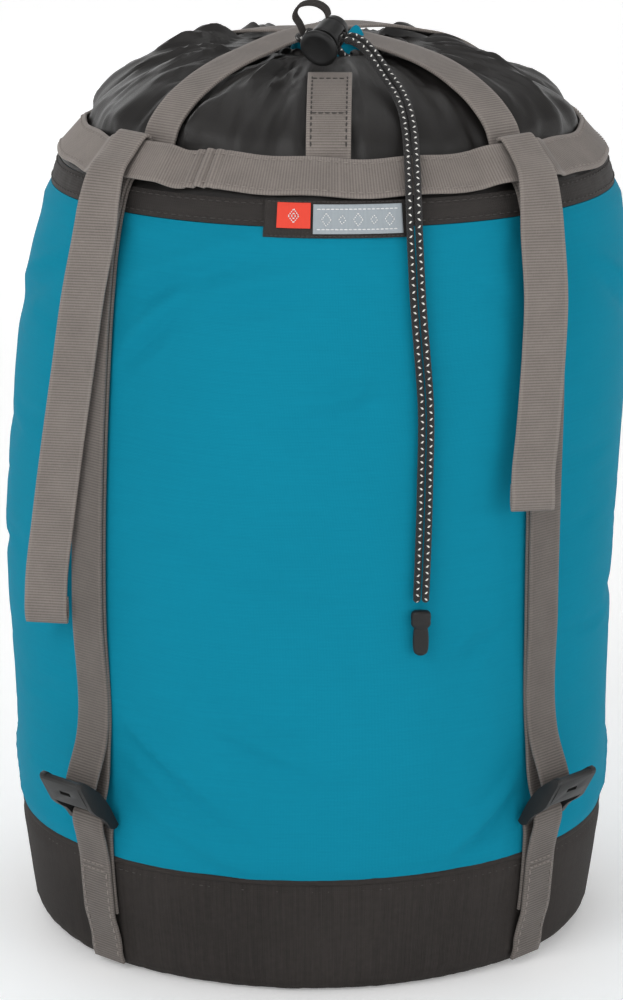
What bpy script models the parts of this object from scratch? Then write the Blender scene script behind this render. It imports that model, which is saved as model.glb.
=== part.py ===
"""Compression stuff sack with four webbing straps, ladder locks and a drawcord mouth.

Blender 4.5, metres, +Z up. The sack stands on its round base at the origin and its
front looks along -Y. Sizes below are in millimetres and are turned into metres by MM.
"""
import math

import bmesh
import bpy
from mathutils import Matrix, Vector

MM = 0.001

# --- driving dimensions, in millimetres -------------------------------------------------
SEGMENTS = 36                 # flats around each turned fabric panel
FABRIC = 1.0                  # thickness of the coated fabric shells
WEB_WIDTH = 15.0              # webbing of the straps and of the ring
WEB_THICK = 1.2
GAP = 0.35                    # clearance between pieces that touch
BAND_TOP = 42.0               # top of the black bottom band
WALL_TOP = 268.0              # top of the coloured wall
HEM_TOP = 276.6               # top of the black hem tape
RING_LOW, RING_HIGH = 277.2, 288.2
BASE_RADIUS = 92.9
LEAN = 7.5                    # how far the filled top leans towards +X
LEAN_FROM, LEAN_TO = 110.0, 262.0

# Outer profile of the filled sack, as (radius, height).
OUTLINE = [(94.0, 0.0), (98.0, 1.4), (100.2, 5.2), (101.2, 12.0), (103.4, 28.0), (104.6, 42.0),
           (105.2, 80.0), (105.7, 130.0), (105.6, 170.0), (104.9, 210.0), (103.3, 240.0),
           (101.2, 258.0), (99.0, 268.0), (96.0, 276.6), (90.4, 282.2), (85.2, 287.2),
           (82.0, 294.0), (74.8, 301.5), (65.0, 307.3), (52.0, 311.8), (38.0, 314.3),
           (27.6, 315.0)]

# Azimuths of each strap, from the front towards +X: at the ring, where it crosses the collar
# and at its lock; then its loose tail's azimuths below the ring and at the end, the azimuth
# that its face looks to, and the height of its end.
CORNERS = {
    "front_left": {"azimuth": -50.0, "cross": -45.0, "foot": -45.5,
                   "hang": -47.5, "tail": -53.5, "facing": -12.0, "tail_end": 125.0},
    "front_right": {"azimuth": 42.0, "cross": 42.0, "foot": 47.0,
                    "hang": 38.0, "tail": 37.0, "facing": 8.0, "tail_end": 170.0},
    "back_left": {"azimuth": -136.0, "cross": -136.0, "foot": -136.0,
                  "hang": -134.5, "tail": -131.0, "facing": -150.0, "tail_end": 150.0},
    "back_right": {"azimuth": 136.0, "cross": 136.0, "foot": 136.0,
                   "hang": 138.0, "tail": 140.0, "facing": 160.0, "tail_end": 142.0},
}
INNER_LAYER, OUTER_LAYER = 1.0, 2.6    # strap centrelines above the wall
RING_OFFSET, RING_LOOP = 1.3, 3.4      # ring above the wall, and its extra at the straps
RING_FLARE = 0.9                       # its top edge stands this much further off

# Ladder lock, in its own frame: u across, v up along it, w out of its face.
LOCK_TILT = 30.0
LOCK_FOOT = (108.1, 57.0)              # radius and height of its anchor bar
LOCK_HALF = 10.5
LOCK_SLOT_HALF = 8.1
ANCHOR_BAR, GRIP_BAR, GRIP_V = 1.4, 1.5, 8.0

# Mouth, drawcord and cord lock.
MOUTH_RADIUS, MOUTH_HEIGHT = 24.0, 313.0
CASING_OUTER, CASING_INNER = 3.0, 2.15
CASING_GAP = 14.0                      # half the casing's open angle at the front
CORD = 2.5
CORD_SPACING = 2.9
FLAP_RADIUS, FLAP_LOW, FLAP_RISE = 25.0, 305.0, 4.5
LOCK_FACE = Vector((1.1, -51.2, 320.0))
LOCK_AXIS = Vector((0.42, 0.82, 0.39)).normalized()
LOCK_HOLE = Vector((0.885, -0.452, -0.004)).normalized()
HOLE_AT = 9.2                          # distance of the cord hole behind the button face
HOLE_HALF, HOLE_DEEP = 3.05, 1.7       # half the cord hole's length and width
PRESS_TRAVEL = 2.4

# Middle line between the two free cord strands, from the cord lock to the cord end.
STRAND_ROUTE = [(10.8, -46.6, 323.5), (13.5, -47.9, 323.2), (16.3, -49.8, 321.8),
                (19.1, -52.6, 319.2), (21.9, -56.2, 315.6), (24.8, -60.5, 311.7),
                (27.6, -65.8, 308.2), (29.8, -72.2, 303.8), (31.1, -78.2, 298.0),
                (31.6, -85.1, 291.7), (31.8, -91.2, 285.4), (31.9, -96.5, 278.6),
                (32.1, -99.5, 270.0), (32.6, -100.7, 259.0), (33.4, -102.2, 244.0),
                (34.8, -102.6, 227.0), (36.2, -102.8, 208.0), (36.1, -102.7, 182.0),
                (35.6, -102.7, 159.0), (35.0, -102.7, 141.0)]
CORD_END_TOP = Vector((35.0, -102.5, 138.0))

COLOURS = {
    "fabric_teal": ((0.0, 0.21, 0.32), 0.45, 0.0),
    "fabric_black": ((0.026, 0.022, 0.021), 0.7, 0.0),
    "webbing_grey": ((0.17, 0.145, 0.13), 0.75, 0.0),
    "plastic_black": ((0.02, 0.02, 0.021), 0.35, 0.0),
    "cord_black": ((0.02, 0.02, 0.02), 0.7, 0.0),
    "label_red": ((0.62, 0.05, 0.03), 0.6, 0.0),
    "label_grey": ((0.36, 0.38, 0.42), 0.6, 0.0),
    "spring_steel": ((0.6, 0.6, 0.6), 0.3, 1.0),
}


# --- the sack's own coordinates ---------------------------------------------------------
def smoothstep(t):
    t = min(max(t, 0.0), 1.0)
    return t * t * (3.0 - 2.0 * t)


def lean(z):
    return LEAN * smoothstep((z - LEAN_FROM) / (LEAN_TO - LEAN_FROM))


def outline_radius(z):
    """Radius of the outline at a height."""
    z = min(max(z, OUTLINE[0][1]), OUTLINE[-1][1])
    for (r0, z0), (r1, z1) in zip(OUTLINE, OUTLINE[1:]):
        if z <= z1:
            return r0 + (r1 - r0) * (z - z0) / (z1 - z0)
    return OUTLINE[-1][0]


def outline_tangent(z, reach=1.5):
    """Unit direction up along the outline, as (radius, height)."""
    low, high = max(z - reach, OUTLINE[0][1]), min(z + reach, OUTLINE[-1][1])
    return Vector((outline_radius(high) - outline_radius(low), high - low)).normalized()


def on_shell(z, offset):
    """A point at a distance outside the outline, as (radius, height)."""
    tangent = outline_tangent(z)
    normal = Vector((tangent.y, -tangent.x))
    return Vector((outline_radius(z), z)) + normal * offset


def place(radius, azimuth, z):
    """World point, in millimetres, of a radius, an azimuth in degrees and a height."""
    a = math.radians(azimuth)
    return Vector((radius * math.sin(a) + lean(z), -radius * math.cos(a), z))


def across(azimuth):
    a = math.radians(azimuth)
    return Vector((math.cos(a), math.sin(a), 0.0))


def smooth_route(points, count):
    """Evenly spaced points on a smooth curve through a few route points."""
    points = [Vector(p) for p in points]
    ends = [points[0] * 2 - points[1]] + points + [points[-1] * 2 - points[-2]]
    fine = []
    for a, b, c, d in zip(ends, ends[1:], ends[2:], ends[3:]):
        for step in range(12):
            t = step / 12
            fine.append(0.5 * ((2 * b) + (c - a) * t + (2 * a - 5 * b + 4 * c - d) * t ** 2
                               + (3 * b - a - 3 * c + d) * t ** 3))
    fine.append(points[-1])
    lengths = [0.0]
    for p, q in zip(fine, fine[1:]):
        lengths.append(lengths[-1] + (q - p).length)
    result, j = [], 0
    for i in range(count):
        target = lengths[-1] * i / (count - 1)
        while j < len(fine) - 2 and lengths[j + 1] < target:
            j += 1
        span = lengths[j + 1] - lengths[j]
        result.append(fine[j].lerp(fine[j + 1], (target - lengths[j]) / span))
    return result


# --- mesh helpers -----------------------------------------------------------------------
def material(name):
    existing = bpy.data.materials.get(name)
    if existing:
        return existing
    colour, roughness, metallic = COLOURS[name]
    made = bpy.data.materials.new(name)
    made.use_nodes = True
    shader = made.node_tree.nodes["Principled BSDF"]
    shader.inputs["Base Color"].default_value = (*colour, 1.0)
    shader.inputs["Roughness"].default_value = roughness
    shader.inputs["Metallic"].default_value = metallic
    return made


def link(name, data, material_name, origin=None):
    """Link an object whose data is in millimetres about the world origin."""
    origin = Vector(origin) if origin is not None else Vector()
    if isinstance(data, bpy.types.Mesh):
        data.transform(Matrix.Scale(MM, 4) @ Matrix.Translation(-origin))
    data.materials.append(material(material_name))
    piece = bpy.data.objects.new(name, data)
    piece.location = origin * MM
    bpy.context.collection.objects.link(piece)
    return piece


def to_mesh(name, bm, smooth_angle=40.0):
    bmesh.ops.recalc_face_normals(bm, faces=bm.faces)
    mesh = bpy.data.meshes.new(name)
    bm.to_mesh(mesh)
    bm.free()
    mesh.shade_smooth()
    mesh.set_sharp_from_angle(angle=math.radians(smooth_angle))
    return mesh


def sweep(sections, closed=False):
    """A closed mesh through equal-sized sections, capped unless it closes on itself."""
    bm = bmesh.new()
    rings = [[bm.verts.new(p) for p in section] for section in sections]
    pairs = list(zip(rings, rings[1:])) + ([(rings[-1], rings[0])] if closed else [])
    for one, two in pairs:
        for i in range(len(one)):
            j = (i + 1) % len(one)
            bm.faces.new((one[i], one[j], two[j], two[i]))
    if not closed:
        bm.faces.new(rings[0])
        bm.faces.new(rings[-1])
    return bm


def ribbon(name, material_name, points, widths, width=WEB_WIDTH, thick=WEB_THICK, origin=None):
    """A flat strip along points (mm), with a unit width direction at each point."""
    sections = []
    for i, (point, side) in enumerate(zip(points, widths)):
        ahead = points[min(i + 1, len(points) - 1)] - points[max(i - 1, 0)]
        normal = side.cross(ahead).normalized() * (thick / 2)
        half = side * (width / 2)
        sections.append([point - half - normal, point + half - normal,
                         point + half + normal, point - half + normal])
    return link(name, to_mesh(name, sweep(sections)), material_name, origin)


def corner_ribbon(name, material_name, path, azimuths, faces=None, origin=None):
    """A strap at a corner, from (radius, height) points, with an azimuth and a facing for each."""
    points = [place(p.x, a, p.y) for p, a in zip(path, azimuths)]
    widths = [across(a) for a in faces or azimuths]
    return ribbon(name, material_name, points, widths, origin=origin)


def turned_shell(name, material_name, low, high, thick=FABRIC):
    """A fabric panel of the sack between two heights of the outline."""
    heights = [low] + [z for _, z in OUTLINE if low + 1.0 < z < high - 1.0] + [high]
    outer = [on_shell(z, 0.0) for z in heights]
    inner = [on_shell(z, -thick) for z in reversed(heights)]
    profile = outer + inner
    sections = []
    for i in range(SEGMENTS):
        azimuth = 360.0 * (i + 0.5) / SEGMENTS
        sections.append([place(p.x, azimuth, p.y) for p in profile])
    return link(name, to_mesh(name, sweep(sections, closed=True)), material_name)


def shell_patch(name, material_name, azimuths, low, high, offset, thick):
    """A thin plate that lies on the wall between two azimuths and two heights."""
    steps = 8
    sections = []
    for i in range(steps + 1):
        azimuth = azimuths[0] + (azimuths[1] - azimuths[0]) * i / steps
        corners = [on_shell(low, offset), on_shell(high, offset),
                   on_shell(high, offset + thick), on_shell(low, offset + thick)]
        sections.append([place(p.x, azimuth, p.y) for p in corners])
    return link(name, to_mesh(name, sweep(sections)), material_name)


def tube(name, material_name, points, diameter):
    """A round cord along points (mm), as a bevelled curve with filled caps."""
    curve = bpy.data.curves.new(name, "CURVE")
    curve.dimensions = "3D"
    curve.bevel_depth = diameter * MM / 2
    curve.bevel_resolution = 2
    curve.use_fill_caps = True
    spline = curve.splines.new("POLY")
    spline.points.add(len(points) - 1)
    for slot, point in zip(spline.points, points):
        slot.co = (*(point * MM), 1.0)
    return link(name, curve, material_name)


# --- fabric body ------------------------------------------------------------------------
def make_body():
    disc = bmesh.new()
    bmesh.ops.create_cone(disc, cap_ends=True, segments=SEGMENTS, radius1=BASE_RADIUS,
                          radius2=BASE_RADIUS, depth=FABRIC,
                          matrix=Matrix.Translation((0, 0, FABRIC / 2)))
    link("base_disc", to_mesh("base_disc", disc), "fabric_black")
    turned_shell("bottom_band", "fabric_black", 0.0, BAND_TOP - GAP / 2)
    turned_shell("body_panel", "fabric_teal", BAND_TOP + GAP / 2, WALL_TOP - GAP / 2)
    turned_shell("hem_tape", "fabric_black", WALL_TOP + GAP / 2, HEM_TOP - GAP / 2)
    turned_shell("collar", "fabric_black", HEM_TOP + GAP / 2, OUTLINE[-1][1])


def ring_bump(azimuth):
    """How far the ring stands off, from 0 to 1: it loops over each strap."""
    flat, fade = 6.3, 5.5
    nearest = 180.0
    for corner in CORNERS.values():
        middle = (corner["azimuth"] + corner["cross"]) / 2
        reach = abs(corner["azimuth"] - corner["cross"]) / 2
        nearest = min(nearest, abs((azimuth - middle + 180.0) % 360.0 - 180.0) - reach)
    return 1.0 - smoothstep((nearest - flat) / fade)


def ring_section(offset):
    """Lower edge of the ring at an offset from the wall, its upward and its outward direction."""
    low = on_shell(RING_LOW, offset)
    slope = (on_shell(RING_HIGH, offset + RING_FLARE) - low).normalized()
    return low, slope, Vector((slope.y, -slope.x))


def make_ring():
    azimuths = []
    for corner in CORNERS.values():
        first, last = sorted((corner["azimuth"], corner["cross"]))
        azimuths += [first - step for step in (11.8, 9.0, 6.3)] + [(first + last) / 2]
        azimuths += [last + step for step in (6.3, 9.0, 11.8)]
    azimuths += [spread * side for side in (1, -1) for spread in (25, 16, 8, 66, 77, 90, 103, 116)]
    azimuths += [0, 180, 155, 164, 172, -155, -164, -172]
    sections = []
    for azimuth in sorted(azimuths):
        offset = RING_OFFSET + RING_LOOP * ring_bump(azimuth)
        half = WEB_THICK / 2
        low, slope, out = ring_section(offset)
        corners = [low - out * half, low + slope * WEB_WIDTH - out * half,
                   low + slope * WEB_WIDTH + out * half, low + out * half]
        sections.append([place(p.x, azimuth, p.y) for p in corners])
    mesh = to_mesh("ring_webbing", sweep(sections, closed=True))
    link("ring_webbing", mesh, "webbing_grey")


# --- straps -----------------------------------------------------------------------------
def arc(centre, radius, start, end, steps, first, second):
    """Points around a centre, in the plane of two unit directions."""
    points = []
    for i in range(steps + 1):
        a = math.radians(start + (end - start) * i / steps)
        points.append(centre + (first * math.cos(a) + second * math.sin(a)) * radius)
    return points


def lock_directions():
    tilt = math.radians(LOCK_TILT)
    up = Vector((math.sin(tilt), math.cos(tilt)))
    out = Vector((math.cos(tilt), -math.sin(tilt)))
    return up, out


def anchor_path():
    """Sewn end underneath, over the lock's anchor bar, and down outside to the base."""
    foot = Vector(LOCK_FOOT)
    radius = ANCHOR_BAR + GAP + WEB_THICK / 2
    wrap = arc(foot, radius, 180.0, 0.0, 5, Vector((1, 0)), Vector((0, 1)))
    inner = [on_shell(z, INNER_LAYER) for z in (22.0, 28.0, 35.0, 42.0, 50.0)]
    outer = [on_shell(z, lift) for z, lift in ((48.0, 3.9), (42.0, 2.9), (35.0, 2.7), (28.0, 2.7),
                                               (21.0, 2.7), (16.0, 1.9), (11.0, 1.3),
                                               (6.5, 1.3), (3.4, 1.5))]
    return inner + wrap + outer


def fold_centre():
    """Centre of the strap's fold over the ring's top edge, with its two directions."""
    low, slope, out = ring_section(RING_OFFSET + RING_LOOP)
    return low + slope * (WEB_WIDTH + 0.1), slope, out


def run_path():
    """Load run down the wall, round the grip bar, and the return run up to the fold."""
    up, _ = lock_directions()
    grip = Vector(LOCK_FOOT) + up * GRIP_V
    radius = GRIP_BAR + GAP + WEB_THICK / 2
    along = (on_shell(86.0, INNER_LAYER) - grip).normalized()
    left = Vector((-along.y, along.x))
    wrap = arc(grip, radius, 0.0, 180.0, 6, left, -along)
    heights = (284.0, 277.0, 268.0, 258.0, 240.0, 210.0, 170.0, 130.0, 86.0)
    load = [on_shell(z, INNER_LAYER) for z in heights]
    back = [on_shell(z, OUTER_LAYER) for z in reversed(heights)]
    centre, slope, out = fold_centre()
    fold = arc(centre, 1.7, 180.0, 102.0, 3, out, slope)
    return load + wrap + back + fold


def tail_path(end):
    """Over the ring and down outside it, far enough off the wall to turn towards the front."""
    centre, slope, out = fold_centre()
    fold = arc(centre, 1.7, 80.0, 0.0, 3, out, slope)
    front = [centre + out * away - slope * s for away, s in ((2.3, 7.0), (3.9, 14.5))]
    hang = [on_shell(z, lift) for z, lift in ((271.0, 9.2), (262.0, 9.8), (240.0, 10.2))]
    count = 3
    low = [on_shell(240.0 + (end - 240.0) * (i + 1) / count, 10.0) for i in range(count)]
    return fold + front + hang + low


def tail_turns(spec, count):
    """Azimuth of each point of a tail, and the azimuth that its face looks to."""
    held, turning = 4, 4
    turns, faces = [spec["azimuth"]] * held, [spec["azimuth"]] * held
    for i in range(count - held):
        off_ring = smoothstep((i + 0.7) / turning)
        lower = max(0.0, (i + 1 - turning) / (count - held - turning))
        turns.append(spec["azimuth"] + (spec["hang"] - spec["azimuth"]) * off_ring
                     + (spec["tail"] - spec["hang"]) * lower)
        faces.append(spec["azimuth"]
                     + (spec["facing"] - spec["azimuth"]) * smoothstep((i + 0.35) / turning))
    return turns, faces


def run_azimuth(spec, z):
    """A strap runs a little aslant from its lock up to the ring."""
    share = smoothstep((z - 75.0) / 185.0)
    return spec["foot"] + (spec["azimuth"] - spec["foot"]) * share


def make_ladder_lock_mesh():
    """One ladder lock about its anchor bar: u is X, w is Y (out), v is Z (up)."""
    rail = [(-2.2, -1.5), (-2.4, 0.6), (-1.2, 2.0), (4.0, 2.8), (8.0, 4.8), (10.5, 5.4),
            (20.6, 5.4), (22.0, 4.4), (21.6, 2.8), (14.0, -0.6), (6.0, -1.7)]
    lever = [(10.0, 3.9), (9.9, 4.8), (10.8, 5.4), (20.4, 5.4), (21.8, 4.4), (21.5, 3.2),
             (20.4, 3.7)]
    pieces = [box_from_profile(rail, -LOCK_HALF, -LOCK_SLOT_HALF),
              box_from_profile(rail, LOCK_SLOT_HALF, LOCK_HALF),
              box_from_profile(lever, -LOCK_SLOT_HALF - 0.5, LOCK_SLOT_HALF + 0.5),
              bar_mesh(0.0, ANCHOR_BAR), bar_mesh(GRIP_V, GRIP_BAR)]
    objects = []
    for i, bm in enumerate(pieces):
        mesh = to_mesh(f"lock_piece_{i}", bm)
        objects.append(bpy.data.objects.new(f"lock_piece_{i}", mesh))
        bpy.context.collection.objects.link(objects[-1])
    for other in objects[1:]:
        union = objects[0].modifiers.new("union", "BOOLEAN")
        union.operation = "UNION"
        union.solver = "EXACT"
        union.object = other
    bpy.context.view_layer.update()
    graph = bpy.context.evaluated_depsgraph_get()
    mesh = bpy.data.meshes.new_from_object(objects[0].evaluated_get(graph))
    for piece in objects:
        bpy.data.objects.remove(piece)
    return mesh


def box_from_profile(profile, low, high):
    return sweep([[Vector((x, w, v)) for v, w in profile] for x in (low, high)])


def bar_mesh(v, radius):
    bm = bmesh.new()
    turn = Matrix.Rotation(math.radians(90), 4, "Y")
    bmesh.ops.create_cone(bm, cap_ends=True, segments=10, radius1=radius, radius2=radius,
                          depth=2 * LOCK_SLOT_HALF + 1.6,
                          matrix=Matrix.Translation((0, 0, v)) @ turn)
    return bm


def make_straps():
    lock = make_ladder_lock_mesh()
    lock.transform(Matrix.Scale(MM, 4))
    lock.materials.append(material("plastic_black"))
    lock.shade_smooth()
    lock.set_sharp_from_angle(angle=math.radians(35))
    up, out = lock_directions()
    centre, slope, _ = fold_centre()
    hinge = centre + slope * 1.7
    for corner, spec in CORNERS.items():
        path = anchor_path()
        foot = spec["foot"]
        corner_ribbon(f"anchor_strap_{corner}", "webbing_grey", path, [foot] * len(path))
        path = run_path()
        turns = [run_azimuth(spec, p.y) for p in path]
        corner_ribbon(f"strap_run_{corner}", "webbing_grey", path, turns)
        path = tail_path(spec["tail_end"])
        turns, faces = tail_turns(spec, len(path))
        corner_ribbon(f"strap_tail_{corner}", "webbing_grey", path, turns, faces,
                      origin=place(hinge.x, spec["azimuth"], hinge.y))
        piece = bpy.data.objects.new(f"ladder_lock_{corner}", lock)
        turn = math.radians(foot)
        outward = Vector((math.sin(turn), -math.cos(turn), 0.0))
        side = across(foot)
        lock_up = outward * up.x + Vector((0, 0, up.y))
        lock_out = outward * out.x + Vector((0, 0, out.y))
        frame = Matrix((-side, lock_out, lock_up)).transposed().to_4x4()
        bar = place(LOCK_FOOT[0], foot, LOCK_FOOT[1]) * MM
        piece.matrix_world = Matrix.Translation(bar) @ frame
        bpy.context.collection.objects.link(piece)


def cross_path(azimuth, rises):
    """Half of a strap over the mouth, from behind the ring to the middle."""
    lower = [on_shell(z, INNER_LAYER + 0.1) for z in (285.2, 289.5, 294.5, 301.5, 307.3)]
    points = [place(p.x, azimuth, p.y) for p in lower]
    return points + [place(r, azimuth, z) for r, z in rises]


def make_cross_straps():
    rises_under = [(52.0, 313.4), (38.0, 316.2), (24.0, 317.8), (8.0, 318.9)]
    rises_over = [(52.0, 313.4), (38.0, 316.6), (24.0, 319.4), (9.0, 320.9)]
    for name, ends, rises in (("cross_strap_a", ("front_left", "back_right"), rises_over),
                              ("cross_strap_b", ("front_right", "back_left"), rises_under)):
        first, last = (CORNERS[end]["cross"] for end in ends)
        points = cross_path(first, rises) + list(reversed(cross_path(last, rises)))
        ribbon(name, "webbing_grey", points, [across(first)] * len(points))


# --- front details ----------------------------------------------------------------------
def make_front():
    heights = (291.0, 294.5, 298.5, 301.5, 304.8, 307.3, 309.2, 311.0)
    tab_azimuth = -2.3
    path = [on_shell(z, INNER_LAYER) for z in heights]
    corner_ribbon("front_tab", "webbing_grey", path, [tab_azimuth] * len(path))
    shell_patch("label_backing", "fabric_black", (-14.5, 12.7), 264.6, 276.2, 0.65, 0.7)
    shell_patch("label_red_tab", "label_red", (-11.9, -5.5), 267.6, 275.4, 1.7, 0.4)
    shell_patch("label_grey_patch", "label_grey", (-5.0, 12.0), 265.9, 275.0, 1.7, 0.4)


# --- mouth, drawcord and cord lock ------------------------------------------------------
def circle_points(centre, first, second, radius, sides):
    return [centre + (first * math.cos(a) + second * math.sin(a)) * radius
            for a in (2 * math.pi * i / sides for i in range(sides))]


def make_casing():
    """A fabric tunnel round the mouth, open at both ends at the front."""
    steps, sides = 22, 8
    bm = bmesh.new()
    rings = []
    for i in range(steps + 1):
        azimuth = CASING_GAP + (360.0 - 2 * CASING_GAP) * i / steps
        centre = place(MOUTH_RADIUS, azimuth, MOUTH_HEIGHT)
        out = across(azimuth + 90.0) * -1.0
        up = Vector((0, 0, 1))
        rings.append([[bm.verts.new(p) for p in circle_points(centre, out, up, radius, sides)]
                      for radius in (CASING_OUTER, CASING_INNER)])
    for one, two in zip(rings, rings[1:]):
        for a, b in zip(one, two):
            for k in range(sides):
                m = (k + 1) % sides
                bm.faces.new((a[k], a[m], b[m], b[k]))
    for outer, inner in (rings[0], rings[-1]):
        for k in range(sides):
            m = (k + 1) % sides
            bm.faces.new((outer[k], outer[m], inner[m], inner[k]))
    link("cord_casing", to_mesh("cord_casing", bm), "fabric_black")


def make_dust_flap():
    """A shallow dome of fabric inside the mouth, hinged at its back edge."""
    rows, sides = 3, 24
    sections = []
    for i in range(rows, 0, -1):
        spread = i / rows
        sections.append((FLAP_RADIUS * spread, FLAP_LOW + FLAP_RISE * (1 - spread ** 2)))
    bm = bmesh.new()
    layers = []
    for drop in (0.0, 0.8):
        loops = [[bm.verts.new((lean(z) + r * math.cos(a), r * math.sin(a), z - drop))
                  for a in (2 * math.pi * k / sides for k in range(sides))]
                 for r, z in sections]
        centre = bm.verts.new((LEAN, 0.0, FLAP_LOW + FLAP_RISE - drop))
        for one, two in zip(loops, loops[1:]):
            for k in range(sides):
                m = (k + 1) % sides
                bm.faces.new((one[k], one[m], two[m], two[k]))
        for k in range(sides):
            bm.faces.new((loops[-1][k], loops[-1][(k + 1) % sides], centre))
        layers.append(loops[0])
    for k in range(sides):
        m = (k + 1) % sides
        bm.faces.new((layers[0][k], layers[0][m], layers[1][m], layers[1][k]))
    hinge = Vector((lean(FLAP_LOW), FLAP_RADIUS - 0.4, FLAP_LOW - 0.4))
    link("dust_flap", to_mesh("dust_flap", bm), "fabric_teal", origin=hinge)


def lock_frame(distance):
    """Matrix at a distance behind the button face: Z along the lock, X along the cords."""
    third = LOCK_AXIS.cross(LOCK_HOLE)
    frame = Matrix((LOCK_HOLE, third, LOCK_AXIS)).transposed().to_4x4()
    return Matrix.Translation(LOCK_FACE + LOCK_AXIS * distance) @ frame


def turned(profile, sides=24):
    """A solid turned about Z from (radius, height) points that start and end on Z."""
    bm = bmesh.new()
    loops = []
    for r, z in profile:
        if r == 0:
            loops.append([bm.verts.new((0, 0, z))])
        else:
            loops.append([bm.verts.new((r * math.cos(a), r * math.sin(a), z))
                          for a in (2 * math.pi * k / sides for k in range(sides))])
    for one, two in zip(loops, loops[1:]):
        for k in range(sides):
            m = (k + 1) % sides
            face = ([one[k], one[m]] if len(one) > 1 else [one[0]])
            face += ([two[m], two[k]] if len(two) > 1 else [two[0]])
            bm.faces.new(face)
    return bm


def cut_cord_hole(piece, extra):
    """Cut the cord hole, made longer towards the button face by the travel it needs."""
    name = piece.name + "_hole_cutter"
    bm = bmesh.new()
    size = (20.0, HOLE_DEEP, HOLE_HALF + extra / 2, 1.0)
    matrix = lock_frame(HOLE_AT - extra / 2) @ Matrix.Diagonal(size)
    bmesh.ops.create_cube(bm, size=2.0, matrix=matrix)
    cutter = link(name, to_mesh(name, bm), "plastic_black")
    cutter.hide_render = True
    cutter.display_type = "WIRE"
    hole = piece.modifiers.new("cord_hole", "BOOLEAN")
    hole.operation = "DIFFERENCE"
    hole.solver = "EXACT"
    hole.object = cutter


def make_cord_lock():
    barrel = [(0, 16.6), (3.6, 16.6), (4.7, 15.8), (5.4, 10.0), (5.5, 5.5), (5.1, 4.9),
              (4.0, 4.9), (4.0, 15.6), (0, 15.6)]
    plunger = [(0, 0.0), (5.6, 0.0), (6.75, 0.7), (6.75, 1.7), (6.2, 2.3), (3.6, 2.3),
               (3.6, 12.7), (0, 12.7)]
    origin = LOCK_FACE + LOCK_AXIS * HOLE_AT
    for name, profile, extra in (("cord_lock_barrel", barrel, 0.0),
                                 ("cord_lock_plunger", plunger, PRESS_TRAVEL)):
        bm = turned(profile, sides=20)
        bm.transform(lock_frame(0.0))
        cut_cord_hole(link(name, to_mesh(name, bm), "plastic_black", origin=origin), extra)
    make_lock_spring(origin)
    make_grab_loop(origin)


def make_lock_spring(origin):
    turns, per_turn, wire, low, high, radius = 1.5, 10, 0.25, 13.3, 15.0, 2.9
    steps = int(turns * per_turn)
    frame = lock_frame(low)
    coil = []
    for i in range(steps + 1):
        a = 2 * math.pi * i / per_turn
        rise = (high - low) * i / steps
        coil.append(frame @ Vector((radius * math.cos(a), radius * math.sin(a), rise)))
    sections = []
    for i, point in enumerate(coil):
        ahead = (coil[min(i + 1, steps)] - coil[max(i - 1, 0)]).normalized()
        out = ahead.cross(LOCK_AXIS).normalized()
        sections.append(circle_points(point, out, ahead.cross(out), wire, 5))
    link("cord_lock_spring", to_mesh("cord_lock_spring", sweep(sections)), "spring_steel",
         origin=origin)


def make_grab_loop(origin):
    loop = [(-3.5, -45.4, 325.0), (-4.6, -45.4, 327.8), (-6.4, -45.1, 331.2),
            (-5.0, -44.6, 334.0), (-1.2, -44.2, 335.1), (2.4, -43.9, 334.2),
            (4.5, -43.8, 332.2), (5.0, -43.7, 330.4)]
    points = smooth_route(loop, 12)
    ribbon("grab_loop", "fabric_black", points, [LOCK_AXIS] * len(points), width=3.6,
           thick=0.9, origin=origin)


def strand_points(side):
    """One of the two free strands, beside the middle line between them."""
    middle = smooth_route(STRAND_ROUTE, 36)
    points = []
    for i, point in enumerate(middle):
        turn = smoothstep(i / 8)
        beside = LOCK_AXIS.lerp(Vector((1.0, 0.0, 0.0)), turn).normalized()
        points.append(point + beside * (side * CORD_SPACING / 2))
    return points


def held_cord_points():
    """The held cord: out of the lock, round the casing and back into the lock."""
    exits = [strand_points(side)[0] for side in (-1, 1)]
    hole = LOCK_HOLE
    through = [[end - hole * reach for reach in (0.6, 6.0, 11.5)] for end in exits]
    down_left = [(-4.0, -40.2, 323.2), (-5.0, -36.0, 322.2), (-2.2, -31.4, 319.9),
                 (1.9, -28.1, 318.0), (3.7, -25.0, 314.7)]
    down_right = [(-1.6, -37.0, 324.4), (0.0, -32.6, 322.8), (3.8, -28.8, 319.9),
                  (8.1, -26.6, 317.3), (11.0, -24.5, 314.0)]
    around = [place(MOUTH_RADIUS, -a, MOUTH_HEIGHT) for a in range(16, 345, 12)]
    route = through[0] + [Vector(p) for p in down_left] + around
    route += [Vector(p) for p in reversed(down_right)] + list(reversed(through[1]))
    return smooth_route(route, 64)


def make_drawcord():
    tube("drawcord_loop", "cord_black", held_cord_points(), CORD)
    tube("cord_strand_left", "cord_black", strand_points(-1), CORD)
    tube("cord_strand_right", "cord_black", strand_points(1), CORD)
    head, tongue = (3.3, 1.9), (2.6, 1.3)
    profile = [(0.0, 2.6, 1.6), (-1.4, *head), (-5.4, *head), (-6.2, *tongue), (-13.8, *tongue),
               (-15.6, 1.2, 0.8)]
    sections = []
    for z, wide, deep in profile:
        centre = CORD_END_TOP + Vector((0, 0, z))
        sections.append([centre + Vector((wide * math.cos(a), deep * math.sin(a), 0))
                         for a in (2 * math.pi * i / 12 for i in range(12))])
    link("cord_end", to_mesh("cord_end", sweep(sections)), "plastic_black",
         origin=CORD_END_TOP + Vector((0, 0, -3.0)))


def main():
    for piece in list(bpy.data.objects):
        bpy.data.objects.remove(piece)
    make_body()
    make_ring()
    make_straps()
    make_cross_straps()
    make_front()
    make_casing()
    make_dust_flap()
    make_cord_lock()
    make_drawcord()


main()
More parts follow.
